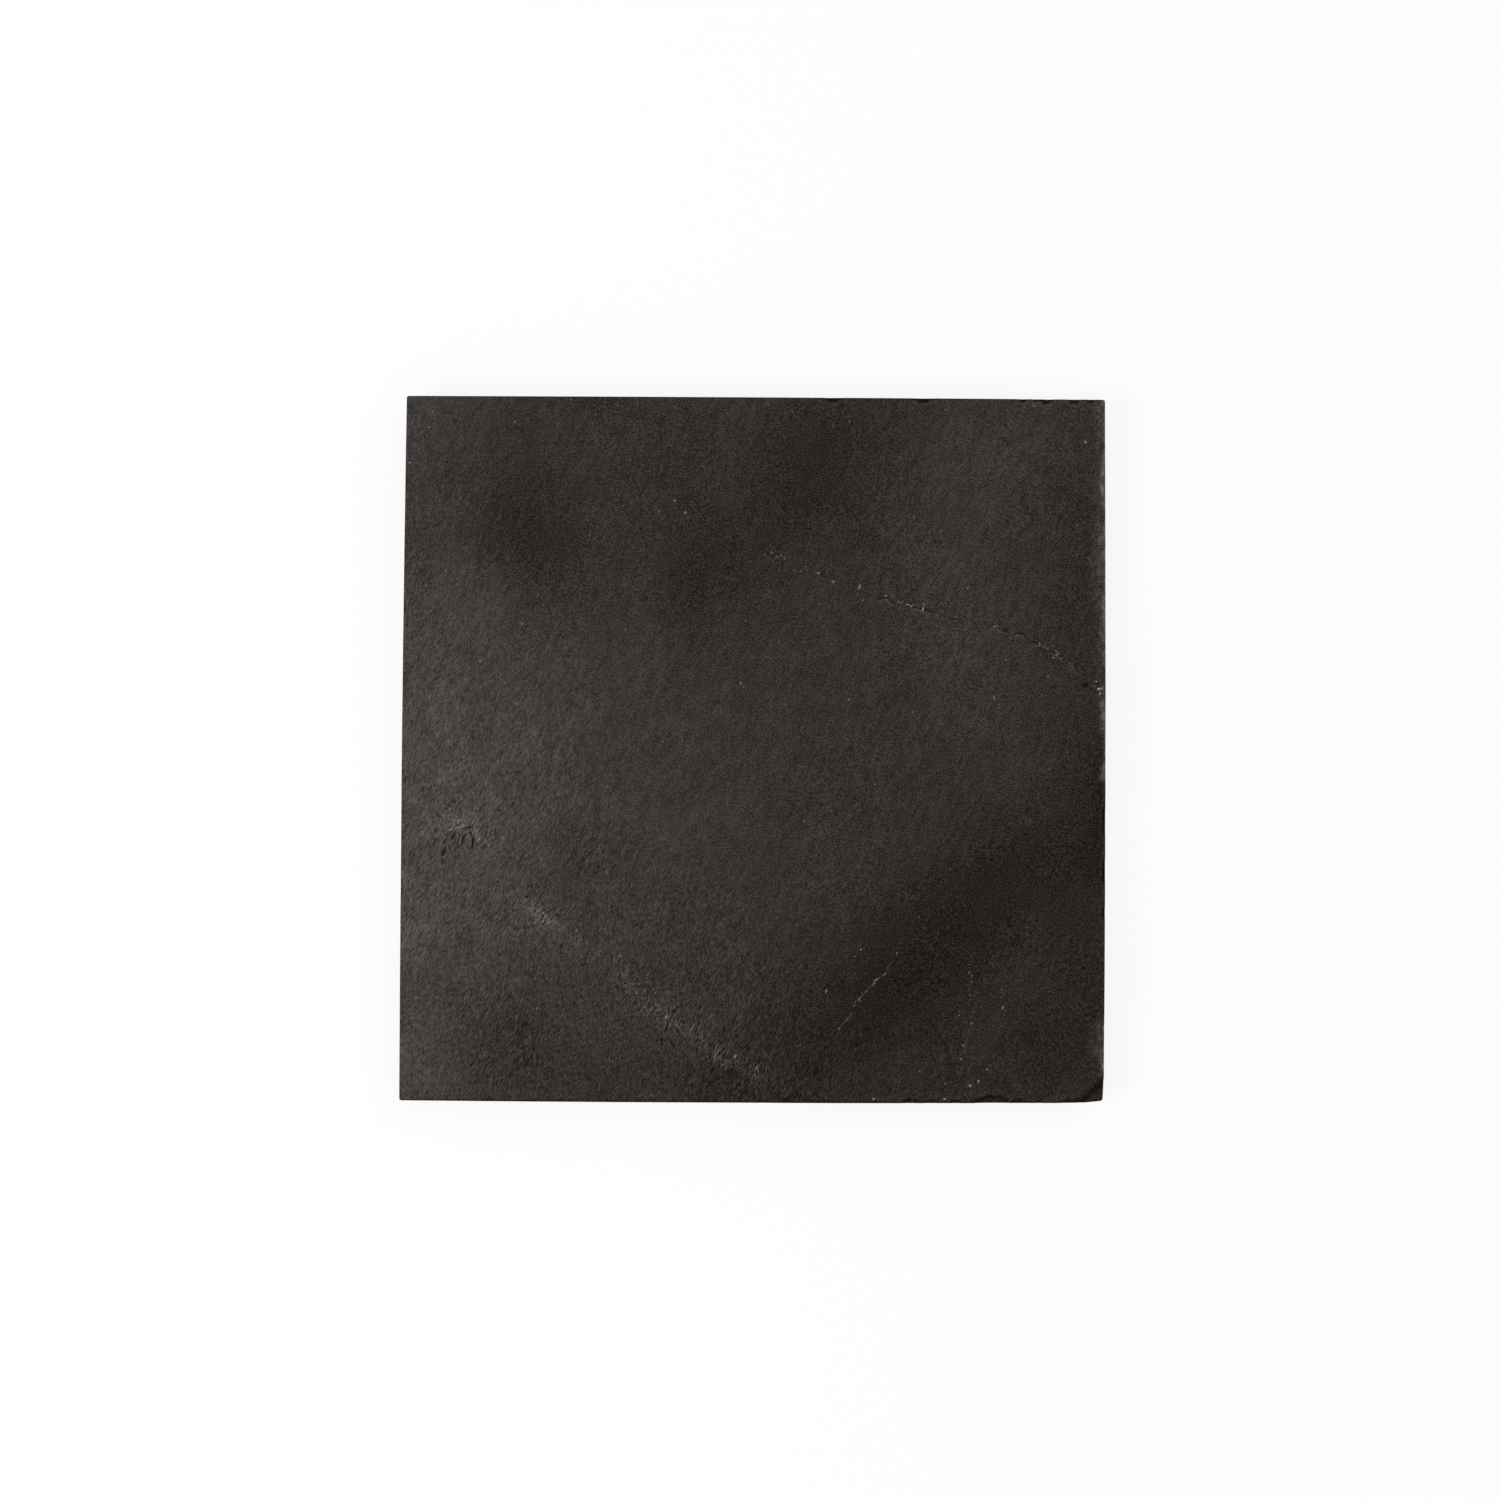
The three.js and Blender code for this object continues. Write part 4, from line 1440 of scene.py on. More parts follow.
    def fleck_values(self, x: Array, y: Array) -> Array:
        """Steps from the fleck that is nearest to each face's middle, and that fleck's level.

        The steps change evenly over a face, so an ellipse that is drawn from them keeps its shape however
        large the faces are.

        Args:
            x: Places along X of the corners of each face.
            y: Places along Y of them.

        Returns:
            The steps along and across, and the level, for each corner of each face.
        """
        values = np.broadcast_to(NO_FLECK, (*x.shape, 3)).copy()
        nearest = np.full(len(x), self.fleck_reach)
        for fleck in (Fleck(*numbers) for numbers in self.flecks):
            away = np.hypot(x.mean(1) - fleck.x, y.mean(1) - fleck.y)
            near = np.flatnonzero(away < self.fleck_margin + fleck.length)
            steps = np.stack(fleck.steps(x[near], y[near]), -1)
            away = np.linalg.norm(steps.mean(1), axis=1)
            closer = away < nearest[near]
            nearest[near[closer]] = away[closer]
            values[near[closer], :, :2] = steps[closer]
            values[near[closer], :, 2] = fleck.level
        return values

    def strewn_specks(self, x: Array, y: Array) -> Array:
        """Share of the cells that hold a faint speck: a few all over, and more along veins and in places.

        Args:
            x: Places along X.
            y: Places along Y.

        Returns:
            The share at each place.
        """
        everywhere, on_veins = self.strewn
        near = np.abs(self.vein_near(x, y)) * smoothstep(self.speck_band - np.abs(self.vein_offset(x, y)))
        return everywhere + on_veins * near + sum(spot.value_at(x, y) for spot in self.speckled)

    def streaky(self, x: Array, y: Array) -> Array:
        """How far the grain runs one way: towards the front left corner, and half as far by the left edge.

        Args:
            x: Places along X.
            y: Places along Y.

        Returns:
            The share of the streaky grain at each place.
        """
        start, soon = self.streaky_corner
        stray, pitch = self.streaky_stray
        corner = smoothstep(-(x + y + start) / soon + stray * self.mottle.at(x, y, pitch))
        start, soon = self.streaky_edge
        return self.streaky_most * np.minimum(corner + 0.5 * smoothstep(-(x + start) / soon), 1.0)


@dataclass(frozen=True)
class Arris:
    """The slab's top edges: the flakes, the worn stretches and the wedge off the front right corner.

    Attributes:
        corner_reach: How far the wedge reaches along the front and right edges.
        corner_scarp: Drop of its scarp, which falls over corner_lip of the way to the corner.
        corner_drop: Drop at the corner itself.
        corner_rag: Strength and pitch of the noise in the scarp's line.
        painted_floor_shade: Grey levels of painted shade on the wedge's floor, and how soon they come in.
            painted_scarp_shadow: Grey levels of the painted shadow on the scarp, where it is darkest, and
            its width.
        painted_scarp_shadow: Grey levels of the scarp, where it is darkest, and its width.
        corner_rust: Iron stain on the floor, where it starts, and how soon it comes in.
        stray_along: How far noise moves a place along its edge, and its pitch.
        stray_across: The same across the face.
        worn_strays: What worn stretches have on top of that.
        rust_share: Share of a flake's drop where its stain starts, and how soon it comes in.
        worn_fresh: Grey levels at which wear counts as wholly fresh, and the most that it does.
        worn_patches: Least and added share of the wear's paleness, in patches, and their stretch and pitch.
    """

    breaks: tuple[ArrisBreak, ...] = (
        *broken_places(Edge.FRONT, Breakage.FLAKE, (145.0, 4.2, 1.5, 0.6, 0.6),
            (151.0, 5.0, 0.8, 0.5, 0.8), (154.8, 2.0, 0.8, 0.4), (158.2, 2.5, 1.1, 0.6),
            (168.2, 10.4, 2.2, 1.2, 1.0), (176.4, 6.0, 0.9, 0.5, 0.5), (181.6, 2.6, 0.8, 0.4),
            (191.5, 8.0, 1.2, 0.8, 0.5)),
        *broken_places(Edge.RIGHT, Breakage.WEAR, (15.6, 18.0, 4.6, 0.6), (103.0, 28.0, 1.5, 0.3),
            (164.0, 100.0, 4.2, 0.6)),
        *broken_places(Edge.RIGHT, Breakage.FLAKE, (54.0, 4.0, 0.9, 0.5), (66.0, 8.0, 0.9, 0.6),
            (80.0, 9.0, 1.0, 0.6)),
        *broken_places(Edge.BACK, Breakage.FLAKE, (4.2, 2.8, 1.0, 0.6), (9.0, 3.2, 1.2, 0.7),
            (16.4, 3.6, 1.4, 0.8), (19.6, 2.2, 0.9, 0.5), (23.8, 2.8, 1.0, 0.6), (52.0, 6.0, 1.2, 0.6),
            (78.0, 6.0, 1.2, 0.6)),
        *broken_places(Edge.LEFT, Breakage.FLAKE, (60.0, 5.0, 0.6, 0.4), (140.0, 6.0, 0.6, 0.4)),
    )
    corner_reach: Point = (7.8, 7.6)
    corner_scarp: float = 1.2
    corner_drop: float = 2.2
    corner_lip: float = 0.12
    corner_rag: Point = (0.07, 1.6)
    painted_floor_shade: Point = (-4.0, 0.3)
    painted_scarp_shadow: tuple[float, float, float] = (-26.0, 0.14, 0.17)
    corner_rust: tuple[float, float, float] = (0.3, 0.25, 0.3)
    # Each round's grey is painted shade on the front, back and left arrises, and a painted highlight on the
    # right one.
    rubs_and_painted_light: tuple[RubAndPaintedLight, ...] = (
        RubAndPaintedLight(Edge.FRONT, 0.9, 0.3, -18.0), RubAndPaintedLight(Edge.RIGHT, 0.8, 0.15, 10.0),
        RubAndPaintedLight(Edge.BACK, 0.4, 0.25, -7.0), RubAndPaintedLight(Edge.LEFT, 0.35, 0.2, -2.0),
    )
    stray_along: Point = (0.7, 1.9)
    stray_across: Point = (0.4, 1.5)
    worn_strays: tuple[Point, Point] = ((1.2, 9.0), (0.9, 3.0))
    rust_share: Point = (0.55, 0.35)
    worn_fresh: Point = (60.0, 0.5)
    worn_patches: tuple[float, float, float, float] = (0.4, 1.2, 1.6, 1.4)
    ragged: StoneNoise = StoneNoise(67)

    def past_corner(self, u: Array, v: Array, side: float) -> Array:
        """How far past the corner's scarp a place is: 0 along a ragged diagonal line, and 1 at the corner.

        Args:
            u: Share of the way from the left edge to the right one.
            v: Share of the way from the front edge to the back one.
            side: Length of the slab's side.

        Returns:
            The share of the way to the corner.
        """
        front, right = self.corner_reach
        away_front, away_right = (1.0 - u) * side, v * side
        past = 1.0 - away_front / front - away_right / right
        strength, pitch = self.corner_rag
        return past + strength * self.ragged.at(away_front, away_right, pitch)

    def corner_cut(self, past: Array) -> tuple[Array, Array, Array]:
        """The wedge off the front right corner, which drops down a scarp to a floor that slopes outwards.

        Args:
            past: How far past the scarp places are.

        Returns:
            The depth, the change in grey levels, which is painted shade on the floor and a painted shadow
            on the scarp, and the share of rust.
        """
        floor = np.clip(past, 0.0, 1.0) * (self.corner_drop - self.corner_scarp)
        depth = self.corner_scarp * smoothstep(past / self.corner_lip) + floor
        # Painted shade on the wedge's floor and a painted shadow on its scarp.
        most, soon = self.painted_floor_shade
        scarp, at, width = self.painted_scarp_shadow
        grey = most * smoothstep(past / soon) + scarp * np.exp(-(((past - at) / width) ** 2))
        stain, start, soon = self.corner_rust
        return depth, grey, stain * smoothstep((past - start) / soon)

    def cut(self, u: Array, v: Array, side: float) -> dict[str, Array]:
        """How the arrises are cut down at places on the face, and how that changes their tone.

        Along the edges, each place is moved a little by noise, so that the breaks are ragged, and the
        deepest break counts. All four arrises are rubbed, by a fall with the square of the distance, and
        their rounds carry painted shade, with a painted highlight on the right one.

        Args:
            u: Share of the way from the left edge to the right one.
            v: Share of the way from the front edge to the back one.
            side: Length of the slab's side.

        Returns:
            The depth, the share of rust, the change in grey levels, which holds the paleness of wear beside
            painted light and shade, and how fresh the worn stretches are.
        """
        depth, grey, rust = self.corner_cut(self.past_corner(u, v, side))
        fresh = np.zeros_like(depth)
        for broken in self.breaks:
            along, across = broken.edge.places(u, v, side)
            worn = broken.kind is Breakage.WEAR
            strength, pitch = self.stray_along
            ragged_along = along + strength * self.ragged.fractal(along, across, pitch, 2)
            strength, pitch = self.stray_across
            stray = strength * self.ragged.fractal(across, along, pitch, 2)
            for strength, pitch in self.worn_strays if worn else ():
                stray = stray + strength * self.ragged.at(along, across, pitch)
            ragged_across = np.maximum(across + stray * smoothstep(across), 0.0)
            share = broken.share_at(ragged_along, ragged_across)
            depth = np.maximum(depth, broken.drop * share)
            start, soon = self.rust_share
            rust = np.maximum(rust, broken.rust * smoothstep((share - start) / soon))
            shown = broken.grey_at(ragged_along, ragged_across)
            if worn:
                whole, most = self.worn_fresh
                fresh = np.maximum(fresh, np.minimum(shown / whole, most))
                least, added, stretch, pitch = self.worn_patches
                patches = smoothstep(0.5 + self.ragged.at(along / stretch, across, pitch))
                shown = shown * (least + added * patches)
            grey = grey + shown
        # Painted shade, and on the right a painted highlight, on each rubbed round.
        for rub_and_painted_light in self.rubs_and_painted_light:
            _, across = rub_and_painted_light.edge.places(u, v, side)
            near = np.clip(1.0 - across / rub_and_painted_light.width, 0.0, 1.0)
            depth = depth + rub_and_painted_light.drop * near**2
            grey = grey + rub_and_painted_light.grey * near
        return {"depth": depth, "rust": rust, "grey": grey, "fresh": fresh}


@dataclass(frozen=True)
class SlateSlab:
    """The slab: a riven face on top, sawn sides and a back ground flat, as one closed surface.

    Attributes:
        side: Length of its sawn side.
        strays: How far each corner strays from a true square, from the front left one round.
        bows: How far the front, right, back and left edges bow out.
        corner_radius: How far along an edge its corner is rounded.
        broken_reach: Distance from the front right corner up to which it is drawn in, where it is broken.
        broken_pull: How far it is drawn in along X and Y.
        least_grey: No place on the riven face is darker than this.
        cells: Steps of the riven face each way.
        fine_cell: Size of the steps at the edges, beside 1 in the middle.
        fine_reach: How far from an edge the steps have their full size.
        wall_rows: Steps down the sides.
        layer: Thickness of a layer of the stone on the sides.
        layer_stray: How far noise moves the layers, in layers, and its pitch.
        layer_noise: Pitch of a layer's own noise, and how far apart in it the layers lie.
        rough_noise: Share of finer noise on the sides, and its pitch.
        saw_depth: How far the sides stand back at most.
        side_grey: Grey level of the sides, and how far layers and bruises change it.
        side_pitches: Stretch and pitch of the layers of tone, and pitch of the bruises.
        back_grey: Grey level of the back.
        back_chamfer: How far the back's edge is drawn in.
        back_rings: Rings of the back, as shares of the way from its edge to its middle.
        chart_margin: Margin between the pieces of the bake's picture, as a share of its side.
        chart_face: Side of the riven face in that picture.
        chart_back: Side of the back there.
        chart_strip: Width of the sides' strips there, and the distance from one to the next.
    """

    side: float = 199.98
    strays: tuple[Point, ...] = ((-0.4, 0.2), (-0.3, -0.5), (0.1, -0.8), (1.8, 0.3))
    bows: tuple[float, ...] = (0.35, 0.33, 0.13, 0.31)
    corner_radius: float = 0.6
    broken_reach: float = 6.0
    broken_pull: Point = (0.15, 0.45)
    least_grey: float = 12.0
    cells: int = 262
    fine_cell: float = 0.3
    fine_reach: float = 7.0
    wall_rows: int = 16
    back_rings: tuple[float, ...] = (0.004, 0.15, 0.4, 0.65, 0.85)
    layer: float = 1.1
    layer_stray: Point = (0.3, 40.0)
    layer_noise: Point = (5.0, 7.3)
    rough_noise: Point = (0.3, 0.9)
    saw_depth: float = 0.12
    side_grey: tuple[float, float, float] = (50.0, 7.0, 5.0)
    side_pitches: tuple[float, float, float] = (14.0, 0.9, 9.0)
    back_grey: float = 58.0
    back_chamfer: float = 0.3
    chart_margin: float = 0.005
    chart_face: float = 0.78
    chart_back: float = 0.19
    chart_strip: Point = (0.03, 0.04)
    face: RivenFace = RivenFace()
    arris: Arris = Arris()
    sawn: StoneNoise = StoneNoise(83)

    def corners(self) -> Array:
        """The four corners, from the front left one round, centred on their own box.

        Returns:
            Their X and Y.
        """
        half = self.side / 2.0
        square = np.array([(-half, -half), (half, -half), (half, half), (-half, half)])
        strayed = square + np.array(self.strays)
        return strayed - (strayed.min(0) + strayed.max(0)) / 2.0

    def stations(self) -> Array:
        """Shares of the way across the face at which its grid has lines, closer together near the edges.

        The density of lines is 1 over the step's size at each place, and equal parts of the density's sum
        give the lines.

        Returns:
            Rising numbers from 0 to 1.
        """
        place = np.linspace(0.0, 1.0, 4001)
        from_edge = np.minimum(place, 1.0 - place) * self.side / self.fine_reach
        step = self.fine_cell + (1.0 - self.fine_cell) * smoothstep(from_edge)
        total = np.concatenate([[0.0], np.cumsum(2.0 / (step[1:] + step[:-1]))])
        return np.interp(np.linspace(0.0, total[-1], self.cells + 1), total, place)

    def outline(self, u: Array, v: Array) -> tuple[Array, Array]:
        """Places on the face.

        The four corners are blended bilinearly. Each edge's bow, a parabola along it, is added in full on
        that edge and fades to nothing at the opposite one. Near a corner, both coordinates move inwards by
        r(1 - q)²/4, where r is the radius and q the larger distance from the two edges over r, which turns
        the corner into a quadratic curve. The broken corner is drawn in by its pull times n to the power of
        1.5, where n falls from 1 at the corner to 0 at its reach.

        Args:
            u: Share of the way from the left edge to the right one.
            v: Share of the way from the front edge to the back one.

        Returns:
            X and Y.
        """
        shares = ((1 - u) * (1 - v), u * (1 - v), u * v, (1 - u) * v)
        x, y = (sum(w * c for w, c in zip(shares, column)) for column in self.corners().T)
        front, right, back, left = self.bows
        x = x + 4.0 * v * (1.0 - v) * (right * u - left * (1.0 - u))
        y = y + 4.0 * u * (1.0 - u) * (back * v - front * (1.0 - v))
        from_x, from_y = (np.minimum(w, 1.0 - w) * self.side for w in (u, v))
        q = np.clip(np.maximum(from_x, from_y) / self.corner_radius, 0.0, 1.0)
        inward = self.corner_radius * (1.0 - q) ** 2 / 4.0
        x, y = x + inward * np.sign(0.5 - u), y + inward * np.sign(0.5 - v)
        away = np.hypot((1.0 - u) * self.side, v * self.side)
        near = np.clip(1.0 - away / self.broken_reach, 0.0, 1.0)
        pull_x, pull_y = self.broken_pull
        return x - pull_x * near**1.5, y + pull_y * near**1.5

    def top_values(self, slate: RivenSlate, top: float) -> tuple[Array, dict[str, Array]]:
        """Points of the riven face, row by row, and the numbers that its finish reads there.

        Args:
            slate: The finish.
            top: Height of the highest cleavage plane.

        Returns:
            The points, and the numbers by name.
        """
        u, v = np.meshgrid(self.stations(), self.stations(), indexing="ij")
        x, y = self.outline(u, v)
        cut = self.arris.cut(u, v, self.side)
        points = np.stack([x, y, top + self.face.height(x, y) - cut["depth"]], -1)
        values = {
            "tone": slate.tone_of(np.maximum(self.face.grey(x, y) + cut["grey"], self.least_grey)),
            "streaky": self.face.streaky(x, y),
            "scar": np.clip(self.face.scar_offset(x, y), -SCAR_FAR, SCAR_FAR),
            "fresh": np.maximum(self.face.fresh(x, y), cut["fresh"]),
            "vein": np.clip(self.face.vein_offset(x, y), -VEIN_FAR, VEIN_FAR),
            "vein_near": self.face.vein_near(x, y), "strewn": self.face.strewn_specks(x, y),
            "rust": cut["rust"], "side": np.zeros_like(x), "back": np.zeros_like(x),
        }
        return points, values

    def wall_points(self, rim: Array, bottom: float) -> Array:
        """Points of the sawn sides: a profile carried round the rim of the riven face.

        Rows run down from the rim to the back, closer together near both. Each thin layer of the stone
        stands back from the saw cut by a little of its own, finer noise roughens it, and the lowest row is
        drawn in by the back's chamfer.

        Args:
            rim: Points of the face's rim, in order round it.
            bottom: Height of the back.

        Returns:
            The points, by row and by place round the rim.
        """
        share = np.arange(1, self.wall_rows + 1)[:, None] / self.wall_rows
        share = 0.5 * share + 0.25 * (1.0 - np.cos(math.pi * share))
        height = rim[:, 2] + (bottom - rim[:, 2]) * share
        onward = np.roll(rim, -1, axis=0) - np.roll(rim, 1, axis=0)
        outward = np.stack([onward[:, 1], -onward[:, 0]], -1)
        outward /= np.linalg.norm(outward, axis=1, keepdims=True)
        step = np.linalg.norm(np.roll(rim, -1, axis=0)[:, :2] - rim[:, :2], axis=1)
        round_rim = np.broadcast_to(np.cumsum(step), height.shape)
        stray, pitch = self.layer_stray
        layer = np.floor(height / self.layer + stray * self.sawn.at(round_rim, height, pitch))
        pitch, apart = self.layer_noise
        stands_back = 0.5 + 0.5 * self.sawn.at(round_rim, layer * apart, pitch)
        fine, pitch = self.rough_noise
        rough = 0.5 + 0.5 * self.sawn.at(round_rim, height, pitch)
        inset = self.saw_depth * np.clip((1.0 - fine) * stands_back + fine * rough, 0.0, 1.0)
        inset = inset * smoothstep(share * self.wall_rows / 2.0)
        inset[-1] += self.back_chamfer
        sides = rim[:, :2] - outward * inset[:, :, None]
        return np.concatenate([sides, height[:, :, None]], -1)

    def wall_grey(self, points: Array) -> Array:
        """Grey level of the sides: thin layers, each a little lighter or darker, with pale bruises.

        Noise that is stretched round the rim gives the layers, and a wide noise the bruises.

        Args:
            points: Points of the sides, by row and by place round the rim.

        Returns:
            The grey level of each, of 255.
        """
        round_rim = np.arange(points.shape[1])[None, :] * 4.0 * self.side / points.shape[1]
        stretch, fine, wide = self.side_pitches
        layers = self.sawn.fractal(round_rim / stretch, points[:, :, 2], fine, 3)
        base, by_layer, by_bruise = self.side_grey
        return base + by_layer * layers + by_bruise * self.sawn.at(round_rim, points[:, :, 2], wide)

    def chart(self, points: Array, top: Array, rows: Array, caps: Array) -> Array:
        """Lays the slab out flat on the bake's picture.

        The riven face is large, the back is small above it, both as they lie in X and Y, and the four sides
        stand beside the face as strips: down the wall is across a strip, and round the rim is along it.

        Args:
            points: The slab's points.
            top: The riven face's quads.
            rows: The quads of the sides and of the back's rings, by row and by place round the rim.
            caps: The triangles in the middle of the back.

        Returns:
            The place of each face's corners, in the order of the faces.
        """
        flat = 0.5 + points[:, :2] / (self.side + 2.0)
        face = self.chart_margin + self.chart_face * flat
        back = self.chart_margin + self.chart_back * np.stack([1.0 - flat[:, 0], flat[:, 1]], -1)
        back[:, 1] += self.chart_face + self.chart_margin
        width, pitch = self.chart_strip
        row, place = np.mgrid[: self.wall_rows, : rows.shape[1]]
        edge, step = place // self.cells, place % self.cells
        strip = self.chart_face + 3.0 * self.chart_margin + pitch * edge
        corners = [
            np.stack(
                [
                    strip + width * (row + down) / self.wall_rows,
                    self.chart_margin + self.chart_face * (step + on) / self.cells,
                ],
                -1,
            )
            for down, on in ((0, 0), (1, 0), (1, 1), (0, 1))
        ]
        laid = [face[top], np.stack(corners, -2), back[rows[self.wall_rows :]], back[caps]]
        return np.concatenate([part.reshape(-1, 2) for part in laid])

    def build(self, slate: RivenSlate) -> Piece:
        """Builds the closed slab, dresses it in slate and lets it stand for its solid.

        Args:
            slate: Its finish.

        Returns:
            The slab's object.
        """
        low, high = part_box("slate_slab")
        bottom, top = low.z / MM, high.z / MM
        face, values = self.top_values(slate, top)
        lines = self.cells + 1
        number = np.arange(lines * lines).reshape(lines, lines)
        loop = np.concatenate([number[:-1, 0], number[-1, :-1], number[:0:-1, -1], number[0, :0:-1]])
        rim = face.reshape(-1, 3)[loop]
        walls = self.wall_points(rim, bottom)
        shrink = 1.0 - np.array(self.back_rings)[:, None, None]
        rings = walls[-1] * np.array([1.0, 1.0, 0.0]) * shrink + np.array([0.0, 0.0, bottom])
        points = np.concatenate([face.reshape(-1, 3), walls.reshape(-1, 3), rings.reshape(-1, 3)])
        points = np.concatenate([points, [[0.0, 0.0, bottom]]])

        below = lines * lines + np.arange((self.wall_rows + len(self.back_rings)) * loop.size)
        rows = np.concatenate([loop[None], below.reshape(-1, loop.size)])
        onward = np.roll(rows, -1, axis=1)
        top_quads = np.stack([number[:-1, :-1], number[1:, :-1], number[1:, 1:], number[:-1, 1:]], -1)
        row_quads = np.stack([rows[:-1], rows[1:], onward[1:], onward[:-1]], -1)
        middle = np.full(loop.size, len(points) - 1)
        skin = Skin(
            points, np.concatenate([top_quads.reshape(-1, 4), row_quads.reshape(-1, 4)]),
            np.stack([rows[-1], middle, onward[-1]], -1),
        )
        skin.chart = self.chart(points, top_quads, row_quads, skin.triangles)
        for name, numbers in values.items():
            skin.values[name] = np.concatenate([numbers.ravel(), np.zeros(len(points) - number.size)])
        off_face = slice(number.size, None)
        on_wall = slice(number.size, number.size + walls[..., 0].size)
        on_back = slice(on_wall.stop, None)
        skin.values["tone"][on_wall] = slate.tone_of(self.wall_grey(walls)).ravel()
        skin.values["tone"][on_back] = slate.tone_of(self.back_grey)
        skin.values["side"][on_wall] = 1.0
        skin.values["back"][on_back] = 1.0
        skin.values["vein"][off_face] = VEIN_FAR
        skin.values["scar"][off_face] = -SCAR_FAR
        on_top = face.reshape(-1, 3)[top_quads.reshape(-1, 4)]
        flecks = self.face.fleck_values(on_top[..., 0], on_top[..., 1]).reshape(-1, 3)
        plain = np.broadcast_to(NO_FLECK, (skin.quads.size + skin.triangles.size - len(flecks), 3))
        skin.corner_values["fleck"] = np.concatenate([flecks, plain])
        piece = skin.to_object("riven_slab", slate.material())
        show_piece(piece, "slate_slab", "slate")
        return piece


class Corner(Enum):
    """The four corners that have a foot, as the CAD nodes name them."""

    FRONT_LEFT = "front_left"
    FRONT_RIGHT = "front_right"
    BACK_RIGHT = "back_right"
    BACK_LEFT = "back_left"


@dataclass(frozen=True)
class RubberFoot:
    """A bumper foot, narrower at the table by its draft, with a round lower edge and a gate mark."""

    corner: Corner
    draft: float = 0.8
    edge_radius: float = 0.9
    edge_steps: int = 12
    top_round: float = 0.2
    gate_radius: float = 1.4
    gate_depth: float = 0.2
    gate_floor: float = 0.7
    flat_shares: tuple[float, ...] = (0.3, 0.6, 0.95)
    flank_shares: tuple[float, ...] = (0.45, 0.2)
    rim_inset: float = 0.02
    sides: int = 96

    def profile(self, radius: float, height: float) -> Array:
        """Radius and height round the foot.

        From the axis: the sunken gate mark, the flat that stands on the table, a quadratic curve round the
        lower edge, the drafted flank, a small round and the flat top.

        Args:
            radius: Radius at the top.
            height: Height of the foot.

        Returns:
            The profile's points.
        """
        foot = radius - self.draft
        t = np.linspace(0.0, 1.0, self.edge_steps)
        curve = np.stack([foot - self.edge_radius * (1.0 - t) ** 2, self.edge_radius * t**2], -1)
        floor = self.gate_floor * self.gate_radius
        gate = [(0.0, self.gate_depth), (floor, self.gate_depth), (self.gate_radius, 0.0)]
        flat = [(s * (foot - self.edge_radius), 0.0) for s in self.flat_shares]
        flank = [(radius - self.draft * s, height * (1.0 - s)) for s in self.flank_shares]
        rim = [(radius - self.rim_inset, height - self.top_round), (radius - self.top_round, height)]
        return np.array([*gate, *flat, *curve, *flank, *rim, (0.0, height)])

    def build(self, rubber: Material) -> Piece:
        """Builds the foot where its solid is.

        Args:
            rubber: Its finish.

        Returns:
            The foot's object.
        """
        node = f"foot_{self.corner.value}"
        low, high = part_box(node)
        skin = turned_skin(self.profile((high.x - low.x) / 2 / MM, (high.z - low.z) / MM), self.sides)
        skin.stand_in(low, high)
        piece = skin.to_object(f"bumper_{self.corner.value}", rubber)
        show_piece(piece, node, "rubber")
        return piece


@dataclass(frozen=True)
class TapeDisc:
    """A disc of foam tape between a foot and the slab, with the slightly uneven edge of a punched piece."""

    corner: Corner
    edge_round: float = 0.08
    uneven: float = 0.008
    flat_share: float = 0.6
    first_seed: int = 101
    wave_radius: float = 8.0
    wave_pitch: float = 3.0
    sides: int = 96

    def build(self, tape: Material) -> Piece:
        """Builds the disc where its solid is: a flat profile with rounded edges, trimmed unevenly.

        Args:
            tape: Its finish.

        Returns:
            The disc's object.
        """
        node = f"adhesive_{self.corner.value}"
        low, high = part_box(node)
        radius, height = (high.x - low.x) / 2 / MM, (high.z - low.z) / MM
        soft, flat = self.edge_round, self.flat_share * radius
        profile = np.array(
            [
                (0.0, 0.0), (flat, 0.0), (radius - soft, 0.0), (radius, soft),
                (radius - 0.5 * soft, height / 2), (radius, height - soft), (radius - soft, height),
                (flat, height), (0.0, height),
            ]
        )
        angle = np.arange(self.sides) * math.tau / self.sides
        seed = self.first_seed + list(Corner).index(self.corner)
        ring = self.wave_radius * np.stack([np.cos(angle), np.sin(angle)])
        wave = StoneNoise(seed).at(*ring, self.wave_pitch)
        skin = turned_skin(profile, self.sides, 1.0 - self.uneven * (0.5 + 0.5 * np.clip(wave, -1.0, 1.0)))
        skin.stand_in(low, high)
        piece = skin.to_object(f"tape_{self.corner.value}", tape)
        show_piece(piece, node, "adhesive")
        return piece


@dataclass(frozen=True)
class Softbox:
    """A square soft lamp.

    Attributes:
        name: Its name.
        at: Its middle.
        width: Its side.
        level: Share of plain light, at which a colour shows as it is written, that it gives the slab.
    """

    name: str
    at: tuple[float, float, float]
    width: float
    level: float

    def build(self, target: Vector) -> None:
        """Hangs the lamp, facing the target.

        A flat lamp of power P at distance d lights a face by P cos/(pi d²), and plain light is pi, so the
        power is level pi² d²/cos.

        Args:
            target: The point that it faces.
        """
        lamp = bpy.data.lights.new(self.name, "AREA")
        lamp.size = self.width * MM
        away = Vector(self.at) * MM - target
        lamp.energy = self.level * math.pi**2 * away.length_squared / (away.z / away.length)
        holder = bpy.data.objects.new(self.name, lamp)
        holder.location = Vector(self.at) * MM
        holder.rotation_mode = "QUATERNION"
        holder.rotation_quaternion = away.to_track_quat("Z", "Y")
        bpy.context.scene.collection.objects.link(holder)


